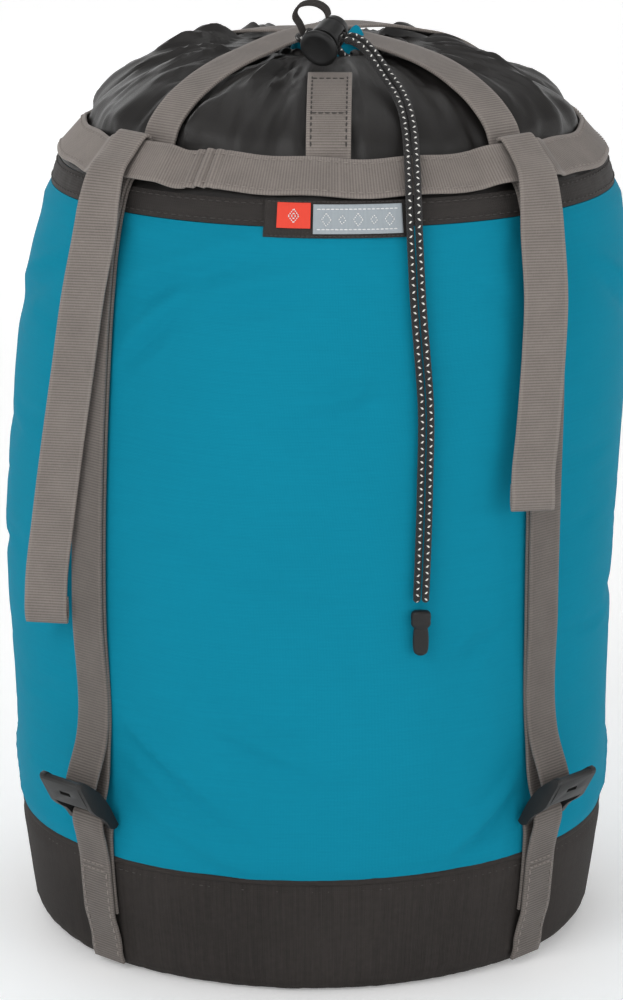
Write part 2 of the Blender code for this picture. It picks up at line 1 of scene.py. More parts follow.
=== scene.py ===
"""Looks of a compression stuff sack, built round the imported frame.

Sizes are in millimetres, as in the CAD, and MM turns them into metres. A place on the sack is
given by its radius, its azimuth in degrees from the front towards +X, and its height.
"""
import math

import bmesh
import bpy
import numpy as np
from mathutils import Matrix, Vector, noise


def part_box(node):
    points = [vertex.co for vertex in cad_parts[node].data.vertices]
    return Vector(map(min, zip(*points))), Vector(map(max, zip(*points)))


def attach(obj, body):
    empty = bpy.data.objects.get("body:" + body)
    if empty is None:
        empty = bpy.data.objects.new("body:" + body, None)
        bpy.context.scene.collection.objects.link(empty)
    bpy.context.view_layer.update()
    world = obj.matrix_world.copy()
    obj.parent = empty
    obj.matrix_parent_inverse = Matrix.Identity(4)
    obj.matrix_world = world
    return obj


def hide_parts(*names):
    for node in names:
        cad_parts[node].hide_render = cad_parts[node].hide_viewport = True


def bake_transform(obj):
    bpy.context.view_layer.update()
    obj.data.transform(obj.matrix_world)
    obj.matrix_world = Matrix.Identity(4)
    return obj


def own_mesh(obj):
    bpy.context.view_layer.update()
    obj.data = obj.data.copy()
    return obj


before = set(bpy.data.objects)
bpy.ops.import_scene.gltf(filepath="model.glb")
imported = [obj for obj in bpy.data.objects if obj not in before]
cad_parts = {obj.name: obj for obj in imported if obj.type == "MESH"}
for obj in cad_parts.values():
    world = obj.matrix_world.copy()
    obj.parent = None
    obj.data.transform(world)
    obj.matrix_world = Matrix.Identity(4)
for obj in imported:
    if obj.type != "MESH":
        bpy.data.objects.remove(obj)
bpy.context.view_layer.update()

MM = 0.001


def level(node, end):
    """Height in millimetres of a CAD node's bottom (0) or top (1)."""
    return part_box(node)[end].z / MM


# --- sizes, from the frame or as in the CAD ---------------------------------------------
SEAM_GAP = 0.35
BAND_TOP = level("bottom_band", 1) + SEAM_GAP / 2
WALL_TOP = level("body_panel", 1) + SEAM_GAP / 2
HEM_TOP = level("hem_tape", 1) + SEAM_GAP / 2
MOUTH_TOP = level("collar", 1)
RING_LOW, RING_HIGH = 277.2, 288.2
WEB_WIDTH, WEB_THICK = 15.0, 1.2
RIB = 0.95                              # pitch of the webbing's ribs
STITCH_REACH = 5.9                      # of the stitches from a strap's middle line
CLOSE_STITCH = 2.4, 1.8                 # pitch and length of the short stitches
FABRIC = 0.7
LEAN, LEAN_FROM, LEAN_TO = 7.5, 110.0, 262.0

# Outer profile of the filled sack, as (radius, height).
OUTLINE = [(94.0, 0.0), (98.0, 1.4), (100.2, 5.2), (101.2, 12.0), (103.4, 28.0), (104.6, 42.0),
           (105.2, 80.0), (105.7, 130.0), (105.6, 170.0), (104.9, 210.0), (103.3, 240.0),
           (101.2, 258.0), (99.0, 268.0), (96.0, 276.6), (90.4, 282.2), (85.2, 287.2),
           (82.0, 294.0), (74.8, 301.5), (65.0, 307.3), (52.0, 311.8), (38.0, 314.3),
           (27.6, 315.0)]

# Azimuths of each strap, from the front towards +X: at the ring, where it crosses the collar
# and at its lock; then its loose tail's azimuths below the ring and at the end, the azimuth
# that its face looks to, and the height of its end.
CORNERS = {
    "front_left": {"azimuth": -50.0, "cross": -45.0, "foot": -45.5,
                   "hang": -47.5, "tail": -53.5, "facing": -12.0, "tail_end": 125.0},
    "front_right": {"azimuth": 42.0, "cross": 42.0, "foot": 47.0,
                    "hang": 38.0, "tail": 37.0, "facing": 8.0, "tail_end": 170.0},
    "back_left": {"azimuth": -136.0, "cross": -136.0, "foot": -136.0,
                  "hang": -134.5, "tail": -131.0, "facing": -150.0, "tail_end": 150.0},
    "back_right": {"azimuth": 136.0, "cross": 136.0, "foot": 136.0,
                   "hang": 138.0, "tail": 140.0, "facing": 160.0, "tail_end": 142.0},
}
INNER_LAYER, OUTER_LAYER = 1.0, 2.6     # strap centrelines above the wall
RING_OFFSET, RING_LOOP, RING_FLARE = 1.3, 3.4, 0.9
RING_PUCKER = -29.0                     # azimuth where the ring is bunched up

# Ladder lock: its tilt, and the radius and height of its anchor bar.
LOCK_TILT, LOCK_FOOT = 30.0, (108.1, 57.0)
LOCK_HALF, LOCK_SLOT_HALF = 10.5, 8.1
ANCHOR_BAR, GRIP_BAR, GRIP_V = 1.4, 1.5, 8.0

# Mouth, drawcord and cord lock.
MOUTH_RADIUS, MOUTH_HEIGHT, CASING_GAP = 24.0, 313.0, 14.0
CORD, CORD_SPACING = 2.5, 2.9
BRAID_LEAD = 4.6                        # length of a braid's repeat
FLAP_RADIUS, FLAP_LOW, FLAP_RISE = 25.0, 305.0, 4.5
LOCK_FACE = Vector((1.1, -51.2, 320.0))
LOCK_AXIS = Vector((0.42, 0.82, 0.39)).normalized()
LOCK_HOLE = Vector((0.885, -0.452, -0.004)).normalized()
HOLE_AT = 9.2

# Middle line between the two free cord strands, as in the CAD.
STRAND_ROUTE = [(10.8, -46.6, 323.5), (13.5, -47.9, 323.2), (16.3, -49.8, 321.8),
                (19.1, -52.6, 319.2), (21.9, -56.2, 315.6), (24.8, -60.5, 311.7),
                (27.6, -65.8, 308.2), (29.8, -72.2, 303.8), (31.1, -78.2, 298.0),
                (31.6, -85.1, 291.7), (31.8, -91.2, 285.4), (31.9, -96.5, 278.6),
                (32.1, -99.5, 270.0), (32.6, -100.7, 259.0), (33.4, -102.2, 244.0),
                (34.8, -102.6, 227.0), (36.2, -102.8, 208.0), (36.1, -102.7, 182.0),
                (35.6, -102.7, 159.0), (35.0, -102.7, 141.0)]
CORD_END_TOP = Vector((35.0, -102.5, 138.0))
CORD_AZIMUTH = 16.5                     # of the free strands where they lie on the wall


def linked(name, data):
    thing = bpy.data.objects.new(name, data)
    bpy.context.collection.objects.link(thing)
    return thing


# --- camera -----------------------------------------------------------------------------
def make_camera():
    """The viewing angle: from the front, a little to the left, looking down 14 degrees."""
    azimuth, distance, height, down = -1.0, 1450.0, 520.0, 14.3
    turn = math.radians(azimuth)
    camera = linked("camera", bpy.data.cameras.new("camera"))
    camera.data.lens = 150.0
    camera.data.sensor_fit = "VERTICAL"
    camera.data.sensor_height = 36.0
    camera.data.clip_end = 20.0
    camera.location = Vector((distance * math.sin(turn), -distance * math.cos(turn), height)) * MM
    camera.rotation_euler = (math.radians(90.0 - down), 0.0, turn)
    bpy.context.scene.camera = camera


# --- the sack's own coordinates ---------------------------------------------------------
def smoothstep(t):
    t = np.clip(t, 0.0, 1.0)
    return t * t * (3.0 - 2.0 * t)


def lean(z):
    return LEAN * smoothstep((np.asarray(z, float) - LEAN_FROM) / (LEAN_TO - LEAN_FROM))


def unit(rows):
    return rows / np.maximum(np.linalg.norm(rows, axis=-1, keepdims=True), 1e-9)


def smooth_route(rows, step):
    """Rows (a point and anything that goes with it) on a smooth curve, evenly step apart."""
    rows = np.asarray(rows, float)
    width = min(3, rows.shape[1])
    chord = np.maximum(np.linalg.norm(np.diff(rows[:, :width], axis=0), axis=1), 1e-6)[:, None]
    slope = np.diff(rows, axis=0) / chord
    inner = (slope[:-1] * chord[1:] + slope[1:] * chord[:-1]) / (chord[:-1] + chord[1:])
    tangent = np.vstack([slope[:1], inner, slope[-1:]])
    t = np.linspace(0.0, 1.0, 24, endpoint=False)[:, None]
    fine = [(2 * t**3 - 3 * t**2 + 1) * a + (t**3 - 2 * t**2 + t) * d * m
            + (3 * t**2 - 2 * t**3) * b + (t**3 - t**2) * d * n
            for a, b, m, n, d in zip(rows, rows[1:], tangent, tangent[1:], chord)]
    fine = np.vstack(fine + [rows[-1:]])
    run = np.linalg.norm(np.diff(fine[:, :width], axis=0), axis=1)
    run = np.concatenate([[0.0], np.cumsum(run)])
    even = np.linspace(0.0, run[-1], max(int(round(run[-1] / step)), 2) + 1)
    return np.column_stack([np.interp(even, run, column) for column in fine.T])


PROFILE = smooth_route(OUTLINE, 0.5)    # the outline as a smooth curve


def outline_radius(z):
    return np.interp(z, PROFILE[:, 1], PROFILE[:, 0])


def on_shell(z, offset):
    """Radius and height of points at a distance outside the outline."""
    z = np.asarray(z, float)
    low = np.clip(z - 1.5, PROFILE[0, 1], PROFILE[-1, 1])
    high = np.clip(z + 1.5, PROFILE[0, 1], PROFILE[-1, 1])
    tangent = unit(np.stack([outline_radius(high) - outline_radius(low), high - low], -1))
    return np.stack([outline_radius(z) + tangent[..., 1] * offset,
                     z - tangent[..., 0] * offset], -1)


def place(radius, azimuth, z):
    """World points, in millimetres, of radii, azimuths in degrees and heights."""
    a = np.radians(azimuth)
    x, y, z = np.broadcast_arrays(radius * np.sin(a) + lean(z), -radius * np.cos(a), z)
    return np.stack([x, y, z], -1)


def on_wall(azimuth, z, offset):
    """World points at azimuths and heights, at a distance outside the outline."""
    radius, height = np.moveaxis(on_shell(z, offset), -1, 0)
    return place(radius, azimuth, height)


def across(azimuth):
    a = np.radians(azimuth)
    return np.stack([np.cos(a), np.sin(a), np.zeros_like(a)], -1)


def apart(azimuth, other):
    """Degrees from another azimuth, from -180 to 180."""
    return (azimuth - other + 180.0) % 360.0 - 180.0


def outward(azimuth, flat=1.0, up=0.0):
    """The direction away from the axis at an azimuth, with a share of it level and one up."""
    a = np.radians(azimuth)
    return np.stack(np.broadcast_arrays(flat * np.sin(a), -flat * np.cos(a), up), -1)


def run_azimuth(spec, z):
    """A strap runs a little aslant from its lock up to the ring."""
    return spec["foot"] + (spec["azimuth"] - spec["foot"]) * smoothstep((z - 75.0) / 185.0)


def from_corner(azimuth, z):
    """Degrees to the nearest strap at a height."""
    azimuth = np.asarray(azimuth, float)
    return np.min([np.abs(apart(azimuth, run_azimuth(spec, z))) for spec in CORNERS.values()],
                  axis=0)


def covered(azimuth, z):
    """1 under a strap or behind the free cords, 0 well away from them."""
    strap = 1.0 - smoothstep((from_corner(azimuth, z) - 4.0) / 3.0)
    off = np.abs(apart(azimuth, CORD_AZIMUTH))
    cords = (1.0 - smoothstep((off - 8.0) / 5.0)) * smoothstep((z - 50.0) / 15.0)
    return np.maximum(strap, cords)


def noise_at(points, size, seed=0.0):
    """Smooth noise from about -1 to 1, at points in millimetres."""
    flat = np.asarray(points, float).reshape(-1, 3) / size + seed * 17.3
    values = [noise.noise(Vector(p)) for p in flat]
    return np.array(values).reshape(np.shape(points)[:-1])


# --- materials --------------------------------------------------------------------------
class Shader:
    """A node material: sockets are set by number, colour or the output of another node."""

    def __init__(self, name, roughness, **numbers):
        self.material = bpy.data.materials.new(name)
        self.material.use_nodes = True
        self.nodes = self.material.node_tree.nodes
        self.shader = self.nodes["Principled BSDF"]
        self.join(self.shader, {"Roughness": roughness, **numbers})
        self.place = self.nodes.new("ShaderNodeTexCoord").outputs["Object"]
        self.cloth = self.node("ShaderNodeUVMap", uv_map="cloth").outputs["UV"]

    def join(self, node, sockets):
        for socket, value in sockets.items():
            if isinstance(value, bpy.types.NodeSocket):
                self.material.node_tree.links.new(value, node.inputs[socket])
            else:
                node.inputs[socket].default_value = value

    def node(self, kind, sockets=None, **settings):
        made = self.nodes.new(kind)
        for key, value in settings.items():
            setattr(made, key, value)
        self.join(made, sockets or {})
        return made

    def math(self, operation, *values):
        return self.node("ShaderNodeMath", dict(enumerate(values)), operation=operation).outputs[0]

    def noise(self, size, detail=2.0, place=None):
        """Noise with features of a size in millimetres, over the piece or at a place."""
        one_mm = MM if place is None else 1.0
        sockets = {"Vector": place or self.place, "Scale": 1.0 / (size * one_mm),
                   "Detail": detail}
        return self.node("ShaderNodeTexNoise", sockets).outputs["Fac"]

    def stretched(self, along, over):
        """Cloth coordinates squeezed to features of two sizes in millimetres."""
        scale = self.node("ShaderNodeMapping", {"Vector": self.cloth,
                                                "Scale": (1.0 / along, 1.0 / over, 1.0)})
        return scale.outputs[0]

    def waves(self, pitch, axis):
        """A sine of the cloth coordinate along an axis, from 0 to 1."""
        part = self.node("ShaderNodeSeparateXYZ", {0: self.cloth}).outputs[axis]
        turn = self.math("MULTIPLY", part, 2.0 * math.pi / pitch)
        return self.math("MULTIPLY_ADD", self.math("SINE", turn), 0.5, 0.5)

    def blend(self, share, dark, light):
        mix = self.node("ShaderNodeMix", data_type="RGBA")
        self.join(mix, {"Factor": share, 6: (*dark, 1.0), 7: (*light, 1.0)})
        return mix.outputs[2]

    def finish(self, colour, height=None, depth=0.0, rough=None):
        """Set the colour, a bump of a depth in millimetres, and a varying roughness."""
        self.join(self.shader, {"Base Color": colour})
        if height is not None:
            bump = self.node("ShaderNodeBump", {"Height": height, "Distance": depth * MM,
                                                "Strength": 1.0})
            self.join(self.shader, {"Normal": bump.outputs[0]})
        if rough is not None:
            low, high, share = rough
            spread = self.math("MULTIPLY_ADD", share, high - low, low)
            self.join(self.shader, {"Roughness": spread})
        return self.material


def shade(colour, factor):
    return tuple(c * factor for c in colour)


def woven(name, colour, roughness, contrast, pitch=0.5, depth=0.03, grain=(22.0, 0.7),
          gloss=0.25, sheen=0.0):
    """Plain-woven nylon: warp and weft, soft mottling, and a grain of a length and a width."""
    m = Shader(name, roughness, **{"Sheen Weight": sheen, "Specular IOR Level": gloss})
    weave = m.math("MULTIPLY", m.waves(pitch, 0), m.waves(pitch, 1))
    mottle = m.math("ADD", m.math("MULTIPLY", m.noise(60.0), 0.65),
                    m.math("MULTIPLY", m.noise(2.2), 0.35))
    slub = m.noise(1.0, 1.0, m.stretched(*grain))
    share = m.math("ADD", m.math("MULTIPLY", mottle, 0.6), m.math("MULTIPLY", slub, 0.4))
    height = m.math("ADD", weave, m.math("MULTIPLY", slub, 0.8))
    spread = m.node("ShaderNodeMapRange", {"Value": share, 1: 0.3, 2: 0.7}).outputs[0]
    colours = m.blend(spread, shade(colour, 1.0 - contrast), shade(colour, 1.0 + contrast))
    return m.finish(colours, height, depth, (roughness - 0.05, roughness + 0.08, slub))


def webbing_material(name, colour):
    """Woven tape: ribs with painted light on their crests and painted shade in their valleys, a
    lighter selvedge and loose fibres.
    """
    m = Shader(name, 0.8, **{"Sheen Weight": 0.12, "Specular IOR Level": 0.25})
    wide = m.node("ShaderNodeSeparateXYZ", {0: m.cloth}).outputs[0]
    # Painted light and shade along the ribs: lighter on the crests, darker in the valleys.
    rib_shade = m.waves(RIB, 1)
    thread = m.waves(0.55, 0)
    fibre = m.noise(1.0, 3.0, m.stretched(0.25, 1.6))
    wear = m.noise(9.0, 3.0)
    edge = m.math("GREATER_THAN", m.math("ABSOLUTE", wide), WEB_WIDTH / 2 - 1.2)
    share = m.math("ADD", m.math("MULTIPLY", rib_shade, 0.42), m.math("MULTIPLY", fibre, 0.4))
    share = m.math("ADD", share, m.math("MULTIPLY", wear, 0.35))
    share = m.math("ADD", share, m.math("MULTIPLY", edge, 0.12))
    spread = m.node("ShaderNodeMapRange", {"Value": share, 1: 0.25, 2: 0.95}).outputs[0]
    colours = m.blend(spread, shade(colour, 0.62), shade(colour, 1.3))
    height = m.math("ADD", m.math("MULTIPLY", thread, 0.5), fibre)
    return m.finish(colours, height, 0.09, (0.72, 0.9, fibre))


def moulded(name, colour, roughness):
    """Moulded plastic with a fine grain and slight gloss changes."""
    m = Shader(name, roughness, **{"Specular IOR Level": 0.28})
    grain = m.noise(0.35, 2.0)
    patch = m.noise(6.0, 2.0)
    colours = m.blend(patch, shade(colour, 0.8), shade(colour, 1.35))
    return m.finish(colours, grain, 0.02, (roughness - 0.06, roughness + 0.12, patch))


def braid_material(name, colour, fleck):
    """Braided cord: diagonal yarns, with pale flecks where two of them come to the top."""
    m = Shader(name, 0.75, **{"Sheen Weight": 0.1, "Specular IOR Level": 0.3})
    split = m.node("ShaderNodeSeparateXYZ", {0: m.cloth})
    turn, run = split.outputs[0], split.outputs[1]
    lead = m.math("MULTIPLY", run, 2.0 * math.pi / BRAID_LEAD)
    yarns, flecks = [], []
    for hand, phase in ((1.0, 0.0), (-1.0, math.pi)):
        yarns.append(m.math("SINE", m.math("MULTIPLY_ADD", turn, 8.0,
                                           m.math("MULTIPLY", lead, 4.0 * hand))))
        helix = m.math("COSINE", m.math("MULTIPLY_ADD", turn, 2.0, m.math("MULTIPLY", lead, hand)))
        beat = m.math("SINE", m.math("ADD", lead, phase))
        flecks.append(m.math("MULTIPLY", m.math("GREATER_THAN", helix, 0.86),
                             m.math("GREATER_THAN", beat, 0.88)))
    base = m.blend(m.noise(0.5, 2.0), shade(colour, 0.6), shade(colour, 1.6))
    mix = m.node("ShaderNodeMix", data_type="RGBA")
    m.join(mix, {"Factor": m.math("MAXIMUM", *flecks), 6: base, 7: (*fleck, 1.0)})
    return m.finish(mix.outputs[2], m.math("MAXIMUM", *yarns), 0.12)


def plain(name, colour, roughness, metallic=0.0):
    """Thread, print or wire, with fine uneven colour."""
    m = Shader(name, roughness, Metallic=metallic)
    fine = m.noise(0.8, 2.0)
    return m.finish(m.blend(fine, shade(colour, 0.75), shade(colour, 1.2)), fine, 0.03,
                    (roughness, roughness + 0.1, fine))


TEAL = (0.005, 0.205, 0.31)
BLACK = (0.0235, 0.0205, 0.019)
GREY = (0.192, 0.168, 0.152)


def make_materials():
    return {
        "teal": woven("teal_nylon", TEAL, 0.55, 0.05, depth=0.025, gloss=0.012),
        "band": woven("black_cordura", shade(BLACK, 1.25), 0.75, 0.34, 0.62, 0.05, (0.7, 26.0),
                      0.12),
        "black": woven("black_nylon", shade(BLACK, 0.42), 0.47, 0.2, 0.5, 0.03, (0.9, 16.0), 0.36),
        "tape": woven("black_tape", shade(BLACK, 1.15), 0.8, 0.25, 0.9, 0.08, sheen=0.05),
        "web": webbing_material("grey_webbing", GREY),
        # The runs and anchors take a copy of the grey webbing at two thirds of its brightness:
        # painted shade.
        "web_shaded": webbing_material("grey_webbing_run_shaded", shade(GREY, 0.66)),
        "thread": plain("grey_thread", shade(GREY, 1.15), 0.75),
        # The dark thread also paints the shade of the stitch holes on the front tab.
        "dark_thread_and_shade": plain("black_thread_and_shade", shade(BLACK, 1.6), 0.7),
        "plastic": moulded("black_acetal", (0.0125, 0.0125, 0.0125), 0.42),
        "cord": braid_material("flecked_cord", (0.017, 0.016, 0.016), (0.80, 0.79, 0.75)),
        "red": woven("red_label", (0.72, 0.06, 0.035), 0.7, 0.06, 0.35, 0.03),
        "grey": woven("grey_label", (0.31, 0.345, 0.37), 0.6, 0.08, 0.35, 0.03),
        "print": plain("label_thread", (0.74, 0.74, 0.74), 0.6),
        "steel": plain("spring_wire", (0.6, 0.6, 0.6), 0.25, 1.0),
    }


# --- mesh helpers -----------------------------------------------------------------------
def to_piece(name, vertices, faces, material, body, uvs=None, smooth=50.0):
    """Link a mesh given in millimetres; it rides on a body and takes a slot's finish."""
    mesh = bpy.data.meshes.new(name)
    mesh.from_pydata(np.asarray(vertices, float) * MM, [], faces)
    layer = mesh.uv_layers.new(name="cloth")
    if uvs is not None:
        layer.data.foreach_set("uv", np.asarray(uvs, np.float32).ravel())
    mesh.shade_smooth()
    if smooth < 180.0:
        mesh.set_sharp_from_angle(angle=math.radians(smooth))
    mesh.materials.append(MATERIALS[material])
    return enrol(linked(name, mesh), name, body)


def enrol(piece, name, body):
    """Give a piece its body; one named after a CAD node stands for that node."""
    if body:
        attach(piece, body)
    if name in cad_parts:
        piece.name = name + "_detail"
        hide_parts(name)
    return piece


def grid_faces(rows, cols, wrap_rows=False, wrap_cols=False, first=0):
    """Quads of a grid, and the (row, column) of each corner, counted past a wrapped edge."""
    r, c = np.meshgrid(np.arange(rows - (not wrap_rows)), np.arange(cols - (not wrap_cols)),
                       indexing="ij")
    corners = np.stack([np.stack([r, c], -1), np.stack([r, c + 1], -1),
                        np.stack([r + 1, c + 1], -1), np.stack([r + 1, c], -1)], 2)
    corners = corners.reshape(-1, 4, 2)
    faces = (corners[..., 0] % rows) * cols + corners[..., 1] % cols + first
    return faces.tolist(), corners


def grid_piece(name, grid, u, v, material, body, wrap_rows=False, wrap_cols=True, caps=False,
               smooth=180.0):
    """A piece from a (rows, cols) grid of points; u and v are the cloth coordinates in mm."""
    rows, cols = grid.shape[:2]
    faces, corners = grid_faces(rows, cols, wrap_rows, wrap_cols)
    uvs = np.stack([np.asarray(u)[corners[..., 1]], np.asarray(v)[corners[..., 0]]], -1)
    uvs = uvs.reshape(-1, 2)
    if caps:
        ends = [list(range(cols))[::-1], list(range((rows - 1) * cols, rows * cols))]
        faces += ends
        for row, order in ((0, ends[0]), (rows - 1, ends[1])):
            part = [[np.asarray(u)[k % cols], np.asarray(v)[row]] for k in order]
            uvs = np.vstack([uvs, part])
    return to_piece(name, grid.reshape(-1, 3), faces, material, body, uvs, smooth)


def doubled(outer, inner, run):
    """Two layers of cloth as one grid: up the outer one and back down the inner one."""
    return np.concatenate([outer, inner[::-1]]), np.concatenate([run, run[::-1]])


def band_section(width, thick, edge=0.35, steps=9):
    """Cross-section of a woven tape: flat faces, rounded selvedges, a faint ridge at each."""
    half, low = width / 2, thick / 2
    face = np.linspace(-half + edge, half - edge, steps)
    ridge = 0.10 * np.exp(-((np.abs(face) - (half - 0.9)) / 0.5) ** 2)
    top = np.stack([face, np.full(steps, low - 0.05) + ridge], -1)
    turn = half - edge * 0.3
    side = np.array([[turn, low * 0.75], [half, 0.0], [turn, -low * 0.75]])
    bottom = top[::-1] * [1.0, -1.0]
    return np.vstack([top, side, bottom, side[::-1] * [-1.0, 1.0]])


def webbing(name, rows, body, material="web", width=WEB_WIDTH, thick=WEB_THICK,
            rib=RIB, rib_height=0.075, closed=False):
    """A woven tape along rows of (point, width direction), with ribs across it."""
    route = smooth_route(rows, rib / 4)
    points, sides = route[:, :3], unit(route[:, 3:6])
    if closed:
        points, sides = points[:-1], sides[:-1]
        ahead = np.roll(points, -1, 0) - np.roll(points, 1, 0)
    else:
        ahead = np.gradient(points, axis=0)
    out = unit(np.cross(sides, ahead))
    section = band_section(width, thick, steps=7)
    count = len(points)
    run = np.arange(count) * rib / 4
    swell = 1.0 + rib_height * np.cos(2 * math.pi * run / rib) / (thick / 2)
    shape = np.abs(section[:, 0]) < width / 2 - 0.5
    lift = np.where(shape[None, :], section[None, :, 1] * swell[:, None], section[None, :, 1])
    grid = (points[:, None] + sides[:, None] * section[None, :, :1]
            + out[:, None] * lift[..., None])
    u = np.append(section[:, 0], section[0, 0])
    v = np.append(run, run[-1] + rib / 4) if closed else run
    return grid_piece(name, grid, u, v, material, body, wrap_rows=closed, caps=not closed)


def corner_rows(path, azimuths, faces=None):
    """Rows for webbing(): (radius, height) points, with an azimuth and a facing for each."""
    path = np.asarray(path, float)
    azimuths = np.broadcast_to(np.asarray(azimuths, float), len(path))
    faces = azimuths if faces is None else np.asarray(faces, float)
    return np.hstack([place(path[:, 0], azimuths, path[:, 1]), across(faces)])


def stitches(name, rows, body, material="thread", radius=0.3):
    """A piece of rounded stitches, each from one point to another and lifted by a normal."""
    vertices, faces, sides = [], [], 6
    spread = [2 * math.pi * k / sides for k in range(sides)]
    for start, end, normal in rows:
        start, end, normal = Vector(start), Vector(end), Vector(normal).normalized()
        along = (end - start).normalized()
        side = along.cross(normal).normalized()
        first = len(vertices)
        rings = ((0.0, 0.35, -0.5), (0.14, 0.8, 0.1), (0.5, 1.0, 0.42), (0.86, 0.8, 0.1),
                 (1.0, 0.35, -0.5))
        for share, size, lift in rings:
            centre = start.lerp(end, share) + normal * (lift * radius)
            vertices += [centre + (side * math.cos(a) + normal * math.sin(a)) * radius * size
                         for a in spread]
        for ring in range(len(rings) - 1):
            for k in range(sides):
                a, b = first + ring * sides + k, first + ring * sides + (k + 1) % sides
                faces.append((a, b, b + sides, a + sides))
        faces.append(tuple(first + k for k in reversed(range(sides))))
        faces.append(tuple(first + (len(rings) - 1) * sides + k for k in range(sides)))
    return to_piece(name, [list(v) for v in vertices], faces, material, body)


def stitch_row(points, normals, pitch=3.0, length=2.2):
    """Stitches along a line of points, evenly spaced."""
    normals = np.broadcast_to(normals, np.shape(points))
    rows = smooth_route(np.hstack([points, normals]), 0.25)
    every, span = int(pitch / 0.25), int(length / 0.25)
    return [(rows[i, :3], rows[i + span, :3], rows[i, 3:6])
            for i in range(0, len(rows) - span, every)]


def moulding(name, mesh, body, bevel, segments):
    """A plastic piece from a mesh in metres: its edges rounded, its body and slot given."""
    piece = linked(name, mesh)
    edge = piece.modifiers.new("edge", "BEVEL")
    edge.width, edge.segments, edge.limit_method = bevel * MM, segments, "ANGLE"
    edge.angle_limit = math.radians(28.0)
    edge.harden_normals = False
    apply_modifiers(piece)
    if not piece.data.uv_layers:
        piece.data.uv_layers.new(name="cloth")
    piece.data.materials.clear()
    piece.data.materials.append(MATERIALS["plastic"])
    piece.data.shade_smooth()
    piece.data.set_sharp_from_angle(angle=math.radians(35.0))
    return enrol(piece, name, body)


def apply_modifiers(piece):
    bpy.context.view_layer.update()
    graph = bpy.context.evaluated_depsgraph_get()
    mesh = bpy.data.meshes.new_from_object(piece.evaluated_get(graph))
    piece.modifiers.clear()
    piece.data = mesh


# --- fabric body ------------------------------------------------------------------------
def profile_rows(low, high, step):
    """Evenly spaced (radius, height) rows of the outline between two heights."""
    inside = PROFILE[(PROFILE[:, 1] > low) & (PROFILE[:, 1] < high)]
    ends = [[outline_radius(z), z] for z in (low, high)]
    return smooth_route(np.vstack([ends[:1], inside, ends[1:]])[:, :2], step)


def shell_grid(rows, count):
    """World points and outward normals of a panel, turned from its profile rows."""
    azimuths = np.arange(count) * 360.0 / count
    tangent = unit(np.gradient(rows, axis=0))[:, None]
    points = place(rows[:, None, 0], azimuths[None, :], rows[:, None, 1])
    return points, outward(azimuths, tangent[..., 1], -tangent[..., 0]), azimuths


CLOTH = {"quality": 6, "mass": 0.3, "tension_stiffness": 20.0, "compression_stiffness": 20.0,
         "shear_stiffness": 8.0, "bending_stiffness": 1.2, "air_damping": 3.0,
         "vertex_group_mass": "held", "pin_stiffness": 3.0, "use_pressure": True}
CLOTH_FRAMES = 20


def settle(points, held, grow, pressure, seed):
    """Cloth simulation of a closed band of points; returns where it comes to rest.

    It runs at ten times full size, where the solver behaves like heavy cloth.
    """
    scale = 10.0
    rows, cols = points.shape[:2]
    shaken = points + 0.25 * noise_at(points, 12.0, seed)[..., None]
    faces, _ = grid_faces(rows, cols, wrap_cols=True)
    mesh = bpy.data.meshes.new("settling")
    mesh.from_pydata(shaken.reshape(-1, 3) * MM * scale, [], faces)
    piece = linked("settling", mesh)
    group = piece.vertex_groups.new(name="held")
    for index, weight in enumerate(held.reshape(-1)):
        if weight > 0:
            group.add([index], float(weight), "REPLACE")
    cloth = piece.modifiers.new("cloth", "CLOTH")
    for setting, value in CLOTH.items():
        setattr(cloth.settings, setting, value)
    cloth.settings.shrink_min, cloth.settings.uniform_pressure_force = -grow, pressure
    cloth.settings.effector_weights.gravity = 0.0
    cloth.collision_settings.use_collision = False
    cloth.point_cache.frame_end = CLOTH_FRAMES
    scene = bpy.context.scene
    for step in range(1, CLOTH_FRAMES + 1):
        scene.frame_set(step)
    graph = bpy.context.evaluated_depsgraph_get()
    result = np.empty(rows * cols * 3, np.float32)
    piece.evaluated_get(graph).data.vertices.foreach_get("co", result)
    bpy.data.objects.remove(piece)
    scene.frame_set(1)
    return result.reshape(points.shape) / (MM * scale)


def fabric_panel(name, material, body, low, high, step, count, grow, pressure, limits,
                 extra=None, seed=0.0):
    """A sewn panel of the sack, puckered by simulation, kept within limits of its outline."""
    rows = profile_rows(low, high, step)
    points, normals, azimuths = shell_grid(rows, count)
    lift = np.zeros(points.shape[:2]) if extra is None else extra(rows, azimuths, points)
    run = np.arange(len(rows)) * step
    edge = np.minimum(run, run[::-1])
    pressed = covered(azimuths[None, :], rows[:, 1:])
    base = points + normals * lift[..., None]
    held = np.maximum((edge < step * 0.5)[:, None] * 1.0, 0.35 * pressed)
    moved = settle(base, held, grow, pressure, seed)
    out = np.sum((moved - base) * normals, -1)
    out = out - np.median(out) * smoothstep(edge / 14.0)[:, None]
    inmost, outmost = limits
    out = np.where(out > 0, outmost * np.tanh(out / outmost), inmost * np.tanh(out / inmost))
    ease = smoothstep(edge / 5.0)[:, None]
    base = base + normals * (out * ease * (1.0 - 0.95 * pressed))[..., None]
    grid, v = doubled(base, base - normals * FABRIC, run)
    reach = float(np.mean(rows[:, 0])) * 2 * math.pi
    u = np.arange(count + 1) * reach / count
    return grid_piece(name, grid, u, np.append(v, v[0]), material, body, wrap_rows=True,
                      smooth=60.0)


